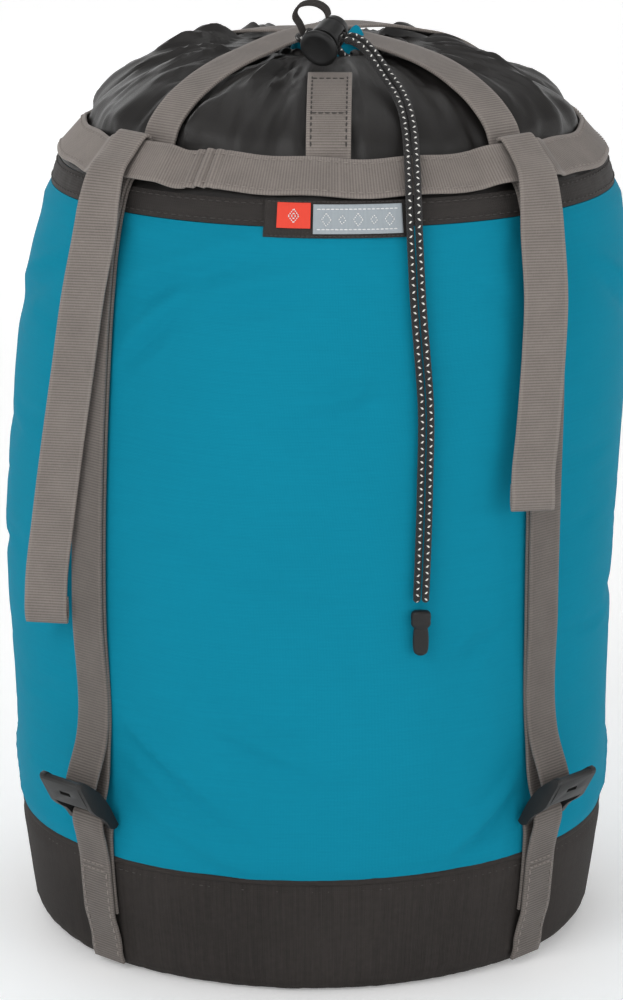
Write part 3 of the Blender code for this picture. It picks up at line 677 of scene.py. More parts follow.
def wall_lift(rows, azimuths, points):
    """The stuffing's soft shape: bulges between straps, a dent under each, drag wrinkles."""
    height = rows[:, 1][:, None]
    edge = smoothstep((height - BAND_TOP) / 25.0) * smoothstep((WALL_TOP - height) / 25.0)
    gap = from_corner(azimuths[None, :], height)
    free = 1.0 - covered(azimuths[None, :], height)
    turn = apart(azimuths[None, :], 0.0)
    bulge = 0.9 * smoothstep((gap - 5.0) / 26.0)
    soft = 1.1 * noise_at(points, 70.0, 3.0) + 0.35 * noise_at(points, 26.0, 4.0)
    side = 4.6 * np.exp(-((turn + 93.0) / 19.0) ** 2) * smoothstep((height - 60.0) / 90.0)
    side = side * smoothstep((WALL_TOP - height) / 60.0)
    drag = np.zeros_like(soft)
    for middle, top, slope, wide in DRAG_WRINKLES:
        along = (turn - middle) * 1.8
        line = top + slope * along
        fade = np.exp(-(along / wide) ** 2)
        drag += fade * (np.exp(-((height - line) / 3.8) ** 2)
                        - 0.7 * np.exp(-((height - line + 7.5) / 4.5) ** 2))
    drag = 2.4 * drag * smoothstep((height - BAND_TOP) / 6.0)
    return edge * ((bulge + soft) * free - 0.25 * (1.0 - free)) + side + drag * free


# Drag wrinkles of the wall: azimuth, height, slope, and half length in millimetres.
DRAG_WRINKLES = [(-25.0, 66.0, -0.75, 24.0), (-29.0, 82.0, -0.7, 22.0), (-20.0, 52.0, -0.6, 26.0),
                 (-10.0, 92.0, -0.45, 20.0), (8.0, 216.0, 0.3, 26.0), (22.0, 120.0, 0.5, 20.0),
                 (-30.0, 255.0, 0.35, 22.0), (-14.0, 250.0, 0.2, 26.0), (20.0, 253.0, -0.25, 20.0),
                 (-36.0, 236.0, 0.9, 14.0), (33.0, 60.0, 0.7, 16.0), (70.0, 240.0, -0.5, 24.0),
                 (-75.0, 242.0, 0.4, 24.0), (95.0, 60.0, 0.6, 22.0), (-100.0, 64.0, -0.5, 24.0),
                 (160.0, 250.0, 0.3, 26.0), (-165.0, 66.0, 0.4, 26.0), (175.0, 58.0, -0.5, 22.0)]


def collar_lift(rows, azimuths, points):
    """Puffed and crumpled below, tight gathers towards the mouth, flat under each strap."""
    run = np.linspace(0.0, 1.0, len(rows))[:, None]
    turn = np.radians(azimuths)[None, :]
    ring = np.stack(np.broadcast_arrays(60 * np.cos(turn), 60 * np.sin(turn), 45.0 * run), -1)
    warp = noise_at(ring, 26.0, 5.0)
    gather = np.zeros_like(warp)
    for number, size in ((19, 0.8), (37, 0.6), (61, 0.3)):
        wave = np.sin(number * turn + 4.0 * warp + number * 1.7)
        gather += size * (1.0 - 2.0 * np.abs(wave) ** 0.75)
    drawn = ring * [1.0, 1.0, 0.45]                 # creases run up rather than round
    crumple = sum(size * (0.55 - 2.2 * np.abs(noise_at(drawn, scale, seed)))
                  for scale, size, seed in ((21.0, 3.4, 9.0), (11.0, 1.7, 10.0), (6.0, 0.6, 11.0)))
    puff = 0.4 + 2.4 * noise_at(ring, 34.0, 8.0)
    for middle, at, high, wide in COLLAR_HUMPS:
        off = apart(azimuths[None, :], middle)
        puff = puff + high * np.exp(-(off / wide) ** 2 - ((run - at) / 0.22) ** 2)
    body = smoothstep(run / 0.25) * smoothstep((1.0 - run) / 0.3)
    height = 1.2 * gather * smoothstep((run - 0.35) / 0.4) + (crumple + puff) * body
    free = strap_clearance(points)
    sunk = 0.55 + 2.6 * np.abs(noise_at(drawn, 12.0, 10.0)) * body
    return height * free - sunk * (1.0 - free)


# Humps where the stuffing lifts the collar: azimuth, place up the collar, height, half width.
COLLAR_HUMPS = [(-121.0, 0.82, 8.0, 13.0), (-85.0, 0.45, -2.5, 26.0), (100.0, 0.50, -4.0, 28.0),
                (126.0, 0.80, 5.0, 13.0), (180.0, 0.72, 2.5, 24.0), (150.0, 0.60, 3.0, 11.0),
                (-150.0, 0.60, 2.5, 11.0)]


def strap_clearance(points):
    """0 under the straps that cross the collar, the front tab and the lock, 1 well away."""
    x, y = points[..., 0] - LEAN, points[..., 1]
    radius = np.hypot(x, y)
    clear = np.ones_like(x)
    for spec in CORNERS.values():
        azimuth = spec["cross"]
        side = across(azimuth)
        out = np.array([math.sin(math.radians(azimuth)), -math.cos(math.radians(azimuth))])
        off = np.abs(x * side[0] + y * side[1])
        ahead = (x * out[0] + y * out[1]) > 0
        near = 1.0 - smoothstep((off - 8.2) / 3.5)
        clear = np.minimum(clear, np.where(ahead, 1.0 - near, 1.0))
    tab = (1.0 - smoothstep((np.abs(x + 2.0) - 8.6) / 5.0)) * (y < 0)
    cords = (1.0 - smoothstep((np.abs(x - 22.0) - 11.0) / 6.0)) * (y < 0)
    clear = np.minimum(clear, np.minimum(1.0 - tab, 1.0 - cords))
    return clear * smoothstep((radius - 33.0) / 9.0) * smoothstep((88.0 - radius) / 6.0)


# --- webbing ----------------------------------------------------------------------------
def arc(centre, radius, start, end, steps, first, second):
    """Points from one angle to another, measured from the first direction to the second."""
    a = np.radians(np.linspace(start, end, steps + 1))[:, None]
    return np.asarray(centre) + np.hstack([np.cos(a), np.sin(a)]) @ [first, second] * radius


def ring_bump(azimuth):
    """How far the ring stands off, from 0 to 1: it loops over each strap."""
    azimuth = np.asarray(azimuth, float)
    gaps = []
    for spec in CORNERS.values():
        middle = (spec["azimuth"] + spec["cross"]) / 2
        reach = abs(spec["azimuth"] - spec["cross"]) / 2
        gaps.append(np.abs(apart(azimuth, middle)) - reach)
    return 1.0 - smoothstep((np.min(gaps, axis=0) - 6.3) / 5.5)


def ring_section(offset):
    """Lower edge of the ring at an offset from the wall, its upward and its outward direction."""
    low = on_shell(RING_LOW, offset)
    slope = unit(on_shell(RING_HIGH, offset + RING_FLARE) - low)
    return low, slope, np.array([slope[1], -slope[0]])


def ring_ease(azimuths):
    """The slack of the sewn ring between straps: how far it stands off, and sags down."""
    azimuths = np.asarray(azimuths, float)
    free = 1.0 - ring_bump(azimuths)
    stand = 0.3 + 0.3 * np.sin(np.radians(azimuths) * 11)
    off = apart(azimuths, RING_PUCKER)
    stand += (0.8 + 0.7 * np.cos(off * 2.6)) * np.exp(-(off / 3.4) ** 2)
    sag = 0.7 * np.sin(np.radians(azimuths) * 6.0 + 0.6) + 0.5 * np.sin(np.radians(azimuths) * 17.0)
    return stand * free, sag * free


def make_ring():
    azimuths = np.arange(0.0, 360.1, 0.75)
    rows = []
    for azimuth, bump, stand, sag in zip(azimuths, ring_bump(azimuths), *ring_ease(azimuths)):
        low, slope, _ = ring_section(RING_OFFSET + RING_LOOP * bump + stand)
        middle = low + slope * (WEB_WIDTH / 2 - sag)
        rows.append([*place(middle[0], azimuth, middle[1]), *outward(azimuth, *slope)])
    webbing("ring_webbing", rows, "top", closed=True)
    make_ring_stitches()


def make_ring_stitches():
    """Two rows where the ring is sewn down between the straps."""
    sewn = []
    for share in (0.12, 0.88):
        for start, end in ((-33.0, 30.0), (54.0, 124.0), (148.0, 212.0), (236.0, 298.0)):
            azimuths = np.arange(start, end, 0.75)
            points, normals = [], []
            for azimuth, stand, sag in zip(azimuths, *ring_ease(azimuths)):
                low, slope, out = ring_section(RING_OFFSET + stand)
                at = low + slope * (WEB_WIDTH * share - sag) + out * WEB_THICK / 2
                points.append(place(at[0], azimuth, at[1]))
                normals.append(outward(azimuth, *out))
            sewn += stitch_row(points, normals)
    stitches("ring_stitches", sewn, "top")


def lock_directions():
    tilt = math.radians(LOCK_TILT)
    return (np.array([math.sin(tilt), math.cos(tilt)]),
            np.array([math.cos(tilt), -math.sin(tilt)]))


def fold_centre():
    low, slope, out = ring_section(RING_OFFSET + RING_LOOP)
    return low + slope * (WEB_WIDTH + 0.1), slope, out


def anchor_path():
    foot, radius = np.array(LOCK_FOOT), ANCHOR_BAR + SEAM_GAP + WEB_THICK / 2
    wrap = arc(foot, radius, 180.0, 0.0, 8, (1, 0), (0, 1))
    inner = [on_shell(z, INNER_LAYER) for z in (22.0, 28.0, 35.0, 42.0, 50.0)]
    outer = [on_shell(z, lift) for z, lift in ((48.0, 3.9), (42.0, 2.9), (35.0, 2.7), (28.0, 2.7),
                                               (21.0, 2.7), (16.0, 1.9), (11.0, 1.3), (6.5, 1.3),
                                               (3.4, 1.5))]
    return np.vstack([inner, wrap, outer])


def run_path():
    up, _ = lock_directions()
    grip = np.array(LOCK_FOOT) + up * GRIP_V
    radius = GRIP_BAR + SEAM_GAP + WEB_THICK / 2
    along = unit(on_shell(86.0, INNER_LAYER) - grip)
    wrap = arc(grip, radius, 0.0, 180.0, 8, (-along[1], along[0]), -along)
    heights = (284.0, 277.0, 268.0, 258.0, 240.0, 210.0, 170.0, 130.0, 86.0)
    load = [on_shell(z, INNER_LAYER) for z in heights]
    back = [on_shell(z, OUTER_LAYER) for z in reversed(heights)]
    centre, slope, out = fold_centre()
    return np.vstack([load, wrap, back, arc(centre, 1.7, 180.0, 102.0, 4, out, slope)])


def tail_path(end):
    """Over the ring, down outside it and off the wall, to an end that is folded under."""
    centre, slope, out = fold_centre()
    fold = arc(centre, 1.7, 97.0, 0.0, 4, out, slope)
    front = [centre + out * away - slope * s for away, s in ((2.3, 7.0), (3.9, 14.5))]
    hang = [on_shell(z, lift) for z, lift in ((271.0, 9.2), (262.0, 9.8), (240.0, 10.2))]
    low = [on_shell(240.0 + (end + 12.0 - 240.0) * i / 4, 10.0) for i in (1, 2, 3, 4)]
    return np.vstack([fold, front, hang, low])


def tail_rows(spec):
    """A tail from its fold to its end: it turns towards the front, and its end is folded under."""
    path = tail_path(spec["tail_end"])
    held, turning = 5, 4                            # points of the fold, and of the turn below it
    rows = []
    for i, (radius, z) in enumerate(path):
        step = i - held
        off_ring = smoothstep((step + 0.7) / turning) if step >= 0 else 0.0
        turned = smoothstep((step + 0.35) / turning) if step >= 0 else 0.0
        lower = max(0.0, (step + 1 - turning) / (len(path) - held - turning))
        azimuth = (spec["azimuth"] + (spec["hang"] - spec["azimuth"]) * off_ring
                   + (spec["tail"] - spec["hang"]) * lower)
        facing = spec["azimuth"] + (spec["facing"] - spec["azimuth"]) * turned
        rows.append([*place(radius, azimuth, z), *across(facing)])
    behind = -outward(spec["facing"])
    end, last = spec["tail_end"], np.array(rows[-1][:3])
    for height, back in ((end + 1.2, 0.0), (end + 0.2, 0.65), (end + 1.2, 1.3), (end + 9.0, 1.4)):
        point = last + behind * back
        rows.append([point[0], point[1], height, *across(spec["facing"])])
    return np.array(rows)


def anchor_stitches(azimuth):
    """Stitch rows down both edges of an anchor strap, and two across its upper end."""
    low, high, rows = 6.0, 39.0, []
    heights = np.linspace(low, high, 8)
    rise = np.interp(heights, (11.0, 16.0, 21.0), (1.95, 2.55, 3.35))
    middle = on_wall(azimuth, heights, rise)
    for side in (-1, 1):
        points = middle + across(azimuth) * side * STITCH_REACH
        rows += stitch_row(points, outward(azimuth, up=-0.1))
    for height in (high + 1.0, high - 1.0):
        rows += cross_row(azimuth, height, 3.35)
    return rows


def cross_row(azimuth, height, offset):
    """A stitch row across a strap."""
    reach = np.linspace(-1, 1, 5)[:, None] * STITCH_REACH
    points = on_wall(azimuth, height, offset) + across(azimuth) * reach
    return stitch_row(points, outward(azimuth), *CLOSE_STITCH)


def make_straps():
    lock = lock_mesh()
    for corner, spec in CORNERS.items():
        foot = spec["foot"]
        # The anchor and the run take the darker copy of the webbing: painted shade.
        webbing(f"anchor_strap_{corner}", corner_rows(anchor_path(), foot), "base",
                material="web_shaded")
        path = run_path()
        turns = run_azimuth(spec, path[:, 1])
        strap = webbing(f"strap_run_{corner}", corner_rows(path, turns), None,
                        material="web_shaded")
        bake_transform(strap)
        tail = tail_rows(spec)
        webbing(f"strap_tail_{corner}", tail, f"tail_{corner}")
        front = outward(spec["facing"])
        point = tail[-5, :3] + front * (WEB_THICK / 2 + 0.1)
        point[2] = spec["tail_end"] + 6.5
        reach = np.linspace(-1, 1, 5)[:, None] * STITCH_REACH
        row = stitch_row(point + across(spec["facing"]) * reach, front, *CLOSE_STITCH)
        stitches(f"tail_stitches_{corner}", row, f"tail_{corner}")
        stitches(f"anchor_stitches_{corner}", anchor_stitches(foot), "base")
        place_lock(f"ladder_lock_{corner}", lock, foot, f"lock_{corner}")


def make_cross_straps():
    rises_under = [(52.0, 313.4), (38.0, 316.2), (24.0, 317.8), (8.0, 318.9)]
    rises_over = [(52.0, 313.4), (38.0, 316.6), (24.0, 319.4), (9.0, 320.9)]
    for name, ends, rises in (("cross_strap_a", ("front_left", "back_right"), rises_over),
                              ("cross_strap_b", ("front_right", "back_left"), rises_under)):
        first, last = (CORNERS[end]["cross"] for end in ends)
        halves = []
        for azimuth in (first, last):
            lower = on_shell(np.array([285.2, 289.5, 294.5, 301.5, 307.3]), INNER_LAYER + 0.1)
            half = np.vstack([lower, rises])
            halves.append(place(half[:, 0], azimuth, half[:, 1]))
        points = np.vstack([halves[0], halves[1][::-1]])
        rows = np.hstack([points, np.tile(across(first), (len(points), 1))])
        webbing(name, rows, "top")


# --- ladder locks -----------------------------------------------------------------------
def prism(profile, low, high):
    """A solid of an outline in (v, w), between two places across the lock."""
    bm = bmesh.new()
    one, two = ([bm.verts.new((x, w, v)) for v, w in profile] for x in (low, high))
    for k in range(len(profile)):
        m = (k + 1) % len(profile)
        bm.faces.new((one[k], one[m], two[m], two[k]))
    bm.faces.new(one[::-1])
    bm.faces.new(two)
    bmesh.ops.recalc_face_normals(bm, faces=bm.faces)
    return bm


def cross_bar(v, radius):
    bm = bmesh.new()
    turn = Matrix.Rotation(math.radians(90), 4, "Y")
    bmesh.ops.create_cone(bm, cap_ends=True, segments=20, radius1=radius, radius2=radius,
                          depth=2 * LOCK_SLOT_HALF + 1.6,
                          matrix=Matrix.Translation((0, 0, v)) @ turn)
    return bm


def joined(parts, operation="UNION"):
    """One mesh of several solids, by boolean; for DIFFERENCE the first one is cut by the rest."""
    objects = []
    for bm in parts:
        mesh = bpy.data.meshes.new("solid")
        bm.to_mesh(mesh)
        bm.free()
        objects.append(linked("solid", mesh))
    for other in objects[1:]:
        step = objects[0].modifiers.new("join", "BOOLEAN")
        step.operation, step.solver, step.object = operation, "EXACT", other
    apply_modifiers(objects[0])
    mesh = objects[0].data
    for piece in objects:
        bpy.data.objects.remove(piece)
    return mesh


def lock_mesh():
    """A ladder lock about its anchor bar: u is X, w is Y (out), v is Z (up)."""
    rail = [(-2.2, -1.5), (-2.6, -0.4), (-2.4, 0.8), (-1.2, 2.0), (2.0, 2.3), (4.6, 3.0),
            (7.0, 4.3), (8.8, 5.0), (10.5, 5.4), (20.4, 5.4), (21.5, 5.0), (22.0, 4.2),
            (21.6, 2.8), (18.0, 1.1), (14.0, -0.6), (10.0, -1.4), (6.0, -1.7)]
    lever = [(10.0, 3.9), (9.7, 4.4), (10.0, 5.1), (10.9, 5.45), (15.5, 5.65), (20.3, 5.45),
             (21.4, 5.0), (21.8, 4.3), (21.5, 3.2), (20.4, 3.7)]
    parts = [prism(rail, -LOCK_HALF, -LOCK_SLOT_HALF), prism(rail, LOCK_SLOT_HALF, LOCK_HALF),
             prism(lever, -LOCK_SLOT_HALF - 0.5, LOCK_SLOT_HALF + 0.5),
             cross_bar(0.0, ANCHOR_BAR), cross_bar(GRIP_V, GRIP_BAR)]
    slot = prism([(15.2, 4.4), (15.2, 6.5), (16.8, 6.5), (16.8, 4.4)], -2.6, 2.6)
    return joined([bmesh_of(joined(parts)), slot], "DIFFERENCE")


def bmesh_of(mesh):
    bm = bmesh.new()
    bm.from_mesh(mesh)
    return bm


def place_lock(name, mesh, azimuth, body):
    mesh = mesh.copy()
    up, out = lock_directions()
    axes = (-across(azimuth), outward(azimuth, *out), outward(azimuth, *up))
    turn = Matrix(axes).transposed().to_4x4()
    foot = Vector(place(LOCK_FOOT[0], azimuth, LOCK_FOOT[1]))
    mesh.transform(Matrix.Scale(MM, 4) @ Matrix.Translation(foot) @ turn)
    moulding(name, mesh, body, 0.32, 3)


# --- seams, tab and label ---------------------------------------------------------------
def seam_row(height, offset):
    """A stitch row all round the sack at a height."""
    turns = np.arange(0.0, 360.1, 1.5)
    out = unit(on_shell(height, 1.0) - on_shell(height, 0.0))
    return stitch_row(on_wall(turns, height, offset), outward(turns, *out))


def rolled_seam(name, height, offset, radius, material, body):
    """The low ridge of a turned seam all round the sack."""
    turns = np.arange(0.0, 360.0, 1.0)
    centre = on_wall(turns, height, offset)
    up = np.array([0.0, 0.0, 1.0])
    swell = 1.0 + 0.12 * noise_at(centre, 4.0, height)[:, None, None]
    spread = np.radians(np.arange(0.0, 360.0, 36.0))[None, :, None]
    grid = centre[:, None] + radius * swell * (outward(turns)[:, None] * np.cos(spread) * 0.6
                                               + up * np.sin(spread) * 1.5)
    u = np.linspace(0.0, 6.0, 11)
    v = np.linspace(0.0, 660.0, 361)
    return grid_piece(name, grid, u, v, material, body, wrap_rows=True)


def make_front_tab():
    azimuth = -2.3
    heights = np.array([287.6, 289.5, 292.0, 294.5, 298.5, 301.5, 304.8, 307.3, 309.2, 311.4])
    path = on_shell(heights, INNER_LAYER - 0.5 * smoothstep((293.0 - heights) / 4.0))
    webbing("front_tab", corner_rows(path, azimuth), "top")
    face, rows = INNER_LAYER + WEB_THICK / 2, []
    for side in (-1, 1):
        points = on_wall(azimuth, np.linspace(292.0, 310.4, 12), face)
        rows += stitch_row(points + across(azimuth) * side * STITCH_REACH, [0.0, -0.6, 0.8],
                           2.6, 1.9)
    for height in (301.3, 310.0):
        rows += cross_row(azimuth, height, face)
    # The tab's stitches take the dark thread, which paints the shade of their stitch holes.
    stitches("front_tab_stitches", rows, "top", "dark_thread_and_shade", 0.28)


def patch(name, azimuths, low, high, offset, thick, material, seed):
    """A woven label on the wall, with rounded edges and a little slack."""
    section = band_section(high - low, thick, edge=0.2, steps=17)
    turns = np.linspace(*azimuths, 49)
    slack = 0.18 * noise_at(np.stack([turns, turns * 0, turns * 0], -1), 5.0, seed)
    grid = []
    for azimuth, lift in zip(turns, slack):
        grid.append(on_wall(azimuth, (low + high) / 2 + section[:, 0],
                            offset + thick / 2 + lift + section[:, 1]))
    run = np.radians(turns - turns[0]) * outline_radius(low)
    return grid_piece(name, np.array(grid), np.append(section[:, 0], section[0, 0]), run,
                      material, "top", caps=True)


def make_label():
    """Black backing, a red tab and a grey tab, each with a plain woven ornament."""
    plates = (("label_backing", (-14.5, 12.7), 264.6, 276.2, 0.65, 0.7, "tape"),
              ("label_red_tab", (-11.9, -5.5), 267.6, 275.4, 1.6, 0.45, "red"),
              ("label_grey_patch", (-5.0, 12.0), 265.9, 275.0, 1.6, 0.45, "grey"))
    for seed, plate in enumerate(plates):
        patch(*plate, seed)
    rows = []
    for height in (265.2, 275.7):
        rows += label_line(-14.0, height, 12.2, height, 1.36)
    stitches("label_stitches", rows, "top", "dark_thread_and_shade", 0.22)
    threads = diamond(-8.7, 271.5, 1.0, 2.1) + diamond(-8.7, 271.5, 0.4, 0.9)
    for k in range(5):
        threads += diamond(-2.5 + 3.0 * k, 270.4, 0.9 - 0.25 * (k % 2), 2.0 - 0.6 * (k % 2))
    for height in (267.3, 273.6):
        threads += label_line(-4.3, height, 11.3, height, 2.07)
    stitches("label_ornament", threads, "top", "print", 0.2)


def label_line(start, low, end, high, offset=2.07, pitch=1.5):
    """A line of small stitches on the label, between two (azimuth, height) places."""
    share = np.linspace(0.0, 1.0, 17)
    azimuths, heights = start + (end - start) * share, low + (high - low) * share
    return stitch_row(on_wall(azimuths, heights, offset), outward(azimuths, up=0.35),
                      pitch, pitch * 0.85)


def diamond(azimuth, height, wide, tall):
    """A small woven diamond: half its width in degrees, half its height in mm."""
    corners = [(azimuth, height + tall), (azimuth + wide, height), (azimuth, height - tall),
               (azimuth - wide, height), (azimuth, height + tall)]
    rows = []
    for (a, low), (b, high) in zip(corners, corners[1:]):
        rows += label_line(a, low, b, high, pitch=0.75)
    return rows


# --- mouth ------------------------------------------------------------------------------
def make_casing():
    """The gathered tunnel round the mouth that holds the drawcord, open at the front."""
    azimuths = np.arange(CASING_GAP, 360.0 - CASING_GAP + 0.1, 1.25)
    spread = np.radians(np.arange(0.0, 360.0, 12.0))
    wave = np.sin(np.radians(azimuths) * 41 + 1.5 * np.sin(np.radians(azimuths) * 5))
    centre = place(MOUTH_RADIUS, azimuths, MOUTH_HEIGHT)[:, None]
    round_it = (outward(azimuths)[:, None] * np.cos(spread)[:, None]
                + np.array([0.0, 0.0, 1.0]) * np.sin(spread)[:, None])
    layers = [centre + (radius + gather * wave)[:, None, None] * round_it
              for radius, gather in ((2.85, 0.3), (2.15, 0.05))]
    grid, v = doubled(*layers, np.radians(azimuths) * MOUTH_RADIUS)
    grid_piece("cord_casing", grid, np.linspace(0, 18.0, len(spread) + 1), np.append(v, v[0]),
               "black", "top", wrap_rows=True, smooth=70.0)


def make_dust_flap():
    """A crumpled round of the wall's fabric, tucked into the mouth."""
    sides, rings = 96, 26
    turns = np.radians(np.arange(sides) * 360.0 / sides)
    shares = np.linspace(1.0, 0.03, rings)
    layers = []
    for drop in (0.0, 0.5):
        x = lean(FLAP_LOW) + FLAP_RADIUS * shares[:, None] * np.cos(turns)
        y = FLAP_RADIUS * shares[:, None] * np.sin(turns)
        z = FLAP_LOW + (FLAP_RISE + 4.2) * (1 - smoothstep(shares[:, None] ** 1.6)) + 0 * x
        points = np.stack([x, y, z], -1)
        crumple = 1.0 - 2.0 * np.abs(noise_at(points * [1.0, 1.0, 0.0], 15.0, 2.0))
        inside = smoothstep((1.0 - shares[:, None]) / 0.25)
        tuft = sum(rise * np.exp(-((points[..., 0] - at_x) / wide) ** 2
                                 - ((points[..., 1] - at_y) / 6.0) ** 2)
                   for at_x, at_y, wide, rise in ((-4.5, -11.0, 5.5, 8.9), (15.5, -9.0, 5.0, 10.3)))
        points[..., 2] += (1.3 * crumple + tuft) * inside - drop - 0.6
        layers.append(points)
    grid, v = doubled(*(layer[::-1] for layer in layers), (1.0 - shares[::-1]) * FLAP_RADIUS)
    piece = grid_piece("dust_flap", grid, np.arange(sides + 1) * 157.0 / sides, v, "teal",
                       "dust_flap", caps=True, smooth=70.0)


def make_base():
    """The round base panel, slightly domed."""
    rings = np.concatenate([np.linspace(2.0, 80.0, 27), [82.5, 83.7, 83.9]])
    turns = np.radians(np.arange(0.0, 360.0, 3.0))
    layers = []
    for top in (False, True):
        x = rings[:, None] * np.cos(turns)
        y = rings[:, None] * np.sin(turns)
        sag = 0.35 * smoothstep((rings[:, None] - 74.0) / 9.0) * np.ones_like(x)
        ruck = 0.18 * (1.0 + noise_at(np.stack([x, y, 0 * x], -1), 18.0, 6.0))
        z = np.ones_like(x) if top else sag + ruck * smoothstep(rings[:, None] / 30.0)
        layers.append(np.stack([x, y, z], -1))
    grid, v = doubled(*layers, rings)
    grid_piece("base_disc", grid, np.arange(121) * 4.4, v, "band", "base", caps=True,
               smooth=60.0)


# --- cord lock --------------------------------------------------------------------------
def lock_frame(distance):
    """Matrix at a distance behind the button face: Z along the lock, X along the cords."""
    third = LOCK_AXIS.cross(LOCK_HOLE)
    turn = Matrix((LOCK_HOLE, third, LOCK_AXIS)).transposed().to_4x4()
    return Matrix.Translation(LOCK_FACE + LOCK_AXIS * distance) @ turn


def turned(profile, sides=64):
    """A solid turned about Z from (radius, height) points that start and end on Z."""
    bm = bmesh.new()
    loops = []
    for r, z in profile:
        count = sides if r else 1
        loops.append([bm.verts.new((r * math.cos(a), r * math.sin(a), z))
                      for a in (2 * math.pi * k / sides for k in range(count))])
    for one, two in zip(loops, loops[1:]):
        for k in range(sides):
            m = (k + 1) % sides
            face = [one[k], one[m]] if len(one) > 1 else [one[0]]
            face += [two[m], two[k]] if len(two) > 1 else [two[0]]
            bm.faces.new(face)
    bmesh.ops.recalc_face_normals(bm, faces=bm.faces)
    return bm


def hole_cutter(extra):
    """The cord hole, longer towards the button face by the travel that it needs."""
    bm = bmesh.new()
    bmesh.ops.create_cube(bm, size=2.0)
    edges = [e for e in bm.edges if abs((e.verts[0].co - e.verts[1].co).x) > 1.0]
    size = (20.0, 1.7, 3.05 + extra / 2)
    bmesh.ops.transform(bm, matrix=Matrix.Diagonal((*size, 1.0)), verts=bm.verts)
    bmesh.ops.bevel(bm, geom=edges, offset=0.7, segments=4, affect="EDGES", profile=0.5)
    bmesh.ops.transform(bm, matrix=Matrix.Translation((0, 0, HOLE_AT - extra / 2)), verts=bm.verts)
    return bm


def make_cord_lock():
    barrel = [(0, 16.6), (2.9, 16.6), (3.6, 16.4), (4.5, 15.8), (4.75, 15.0), (5.1, 13.2),
              (4.85, 12.9), (4.85, 12.5), (5.25, 12.2), (5.4, 10.0), (5.5, 6.2), (5.45, 5.3),
              (5.1, 4.9), (4.0, 4.9), (4.0, 15.6), (0, 15.6)]
    plunger = [(0, 0.55), (3.6, 0.45), (4.6, 0.12), (5.3, 0.0), (5.9, 0.1), (6.5, 0.5),
               (6.75, 1.0), (6.75, 1.6), (6.5, 2.1), (6.0, 2.3), (3.6, 2.3), (3.6, 12.4),
               (3.3, 12.7), (0, 12.7)]
    for name, profile, extra, body in (("cord_lock_barrel", barrel, 0.0, "cord_lock"),
                                       ("cord_lock_plunger", plunger, 2.4, "cord_button")):
        mesh = joined([turned(profile), hole_cutter(extra)], "DIFFERENCE")
        mesh.transform(Matrix.Scale(MM, 4) @ lock_frame(0.0))
        moulding(name, mesh, body, 0.14, 2)
    make_lock_spring()


def make_lock_spring():
    turns, per_turn, wire, low, high, radius = 1.5, 28, 0.25, 13.3, 15.0, 2.9
    steps = int(turns * per_turn)
    a = 2 * math.pi * np.arange(steps + 1) / per_turn
    rise = (high - low) * np.arange(steps + 1) / steps
    points = np.stack([radius * np.cos(a), radius * np.sin(a), low + rise], -1)
    points = np.array([lock_frame(0.0) @ Vector(p) for p in points])
    spring = tube("cord_lock_spring", points, 2 * wire, "steel", "cord_lock", 10)
    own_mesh(spring)


def tube(name, points, diameter, material, body, sides=20, braid=0.0, step=None):
    """A round cord or wire along points, its ends closed."""
    route = smooth_route(points, step or diameter / 4)
    ahead = unit(np.gradient(route, axis=0))
    side = np.empty_like(route)
    last = np.cross(ahead[0], [0.3, 0.2, 0.9])
    for i, direction in enumerate(ahead):
        last = last - direction * np.dot(last, direction)
        last = last / np.linalg.norm(last)
        side[i] = last
    up = np.cross(ahead, side)
    a = np.arange(sides) * 2 * math.pi / sides
    run = np.arange(len(route)) * (step or diameter / 4)
    lead = run[:, None] * 4 * math.pi / BRAID_LEAD
    bulge = np.maximum(np.sin(4 * a + lead), np.sin(4 * a - lead))
    size = diameter / 2 + braid * (bulge - 0.6)
    end = np.minimum(run, run[::-1])[:, None]
    size = size * np.sqrt(np.clip(end / (diameter / 4), 0.25, 1.0))
    grid = route[:, None] + size[..., None] * (side[:, None] * np.cos(a)[:, None]
                                               + up[:, None] * np.sin(a)[:, None])
    return grid_piece(name, grid, np.append(a, 2 * math.pi), run, material, body, caps=True)


def make_grab_loop():
    loop = [(-3.5, -45.4, 325.0), (-4.6, -45.4, 327.8), (-6.4, -45.1, 331.2),
            (-5.0, -44.6, 334.0), (-1.2, -44.2, 335.1), (2.4, -43.9, 334.2),
            (4.5, -43.8, 332.2), (5.0, -43.7, 330.4)]
    rows = [[*point, *LOCK_AXIS] for point in loop]
    webbing("grab_loop", rows, "cord_lock", "tape", width=3.6, thick=0.9,
            rib=0.8, rib_height=0.07)


# --- cords ------------------------------------------------------------------------------
def strand_points(side):
    """One of the two free strands, beside the middle line between them."""
    middle = smooth_route(STRAND_ROUTE, 1.0)
    count = len(middle)
    turn = smoothstep(np.arange(count) / (count - 1) * 35.0 / 8.0)[:, None]
    beside = unit(np.array(LOCK_AXIS) * (1.0 - turn) + np.array([1.0, 0.0, 0.0]) * turn)
    return middle + beside * (side * CORD_SPACING / 2)


def held_cord_points():
    """The held cord: out of the lock, round the casing and back into the lock."""
    through = [[Vector(strand_points(side)[0]) - LOCK_HOLE * reach for reach in (0.6, 6.0, 11.5)]
               for side in (-1, 1)]
    down_left = [(-4.0, -40.2, 323.2), (-5.0, -36.0, 322.2), (-2.2, -31.4, 319.9),
                 (1.9, -28.1, 318.0), (3.7, -25.0, 314.7)]
    down_right = [(-1.6, -37.0, 324.4), (0.0, -32.6, 322.8), (3.8, -28.8, 319.9),
                  (8.1, -26.6, 317.3), (11.0, -24.5, 314.0)]
    around = place(MOUTH_RADIUS, -np.arange(16.0, 345.0, 12.0), MOUTH_HEIGHT)
    return [*map(list, through[0]), *down_left, *around.tolist(), *reversed(down_right),
            *map(list, reversed(through[1]))]


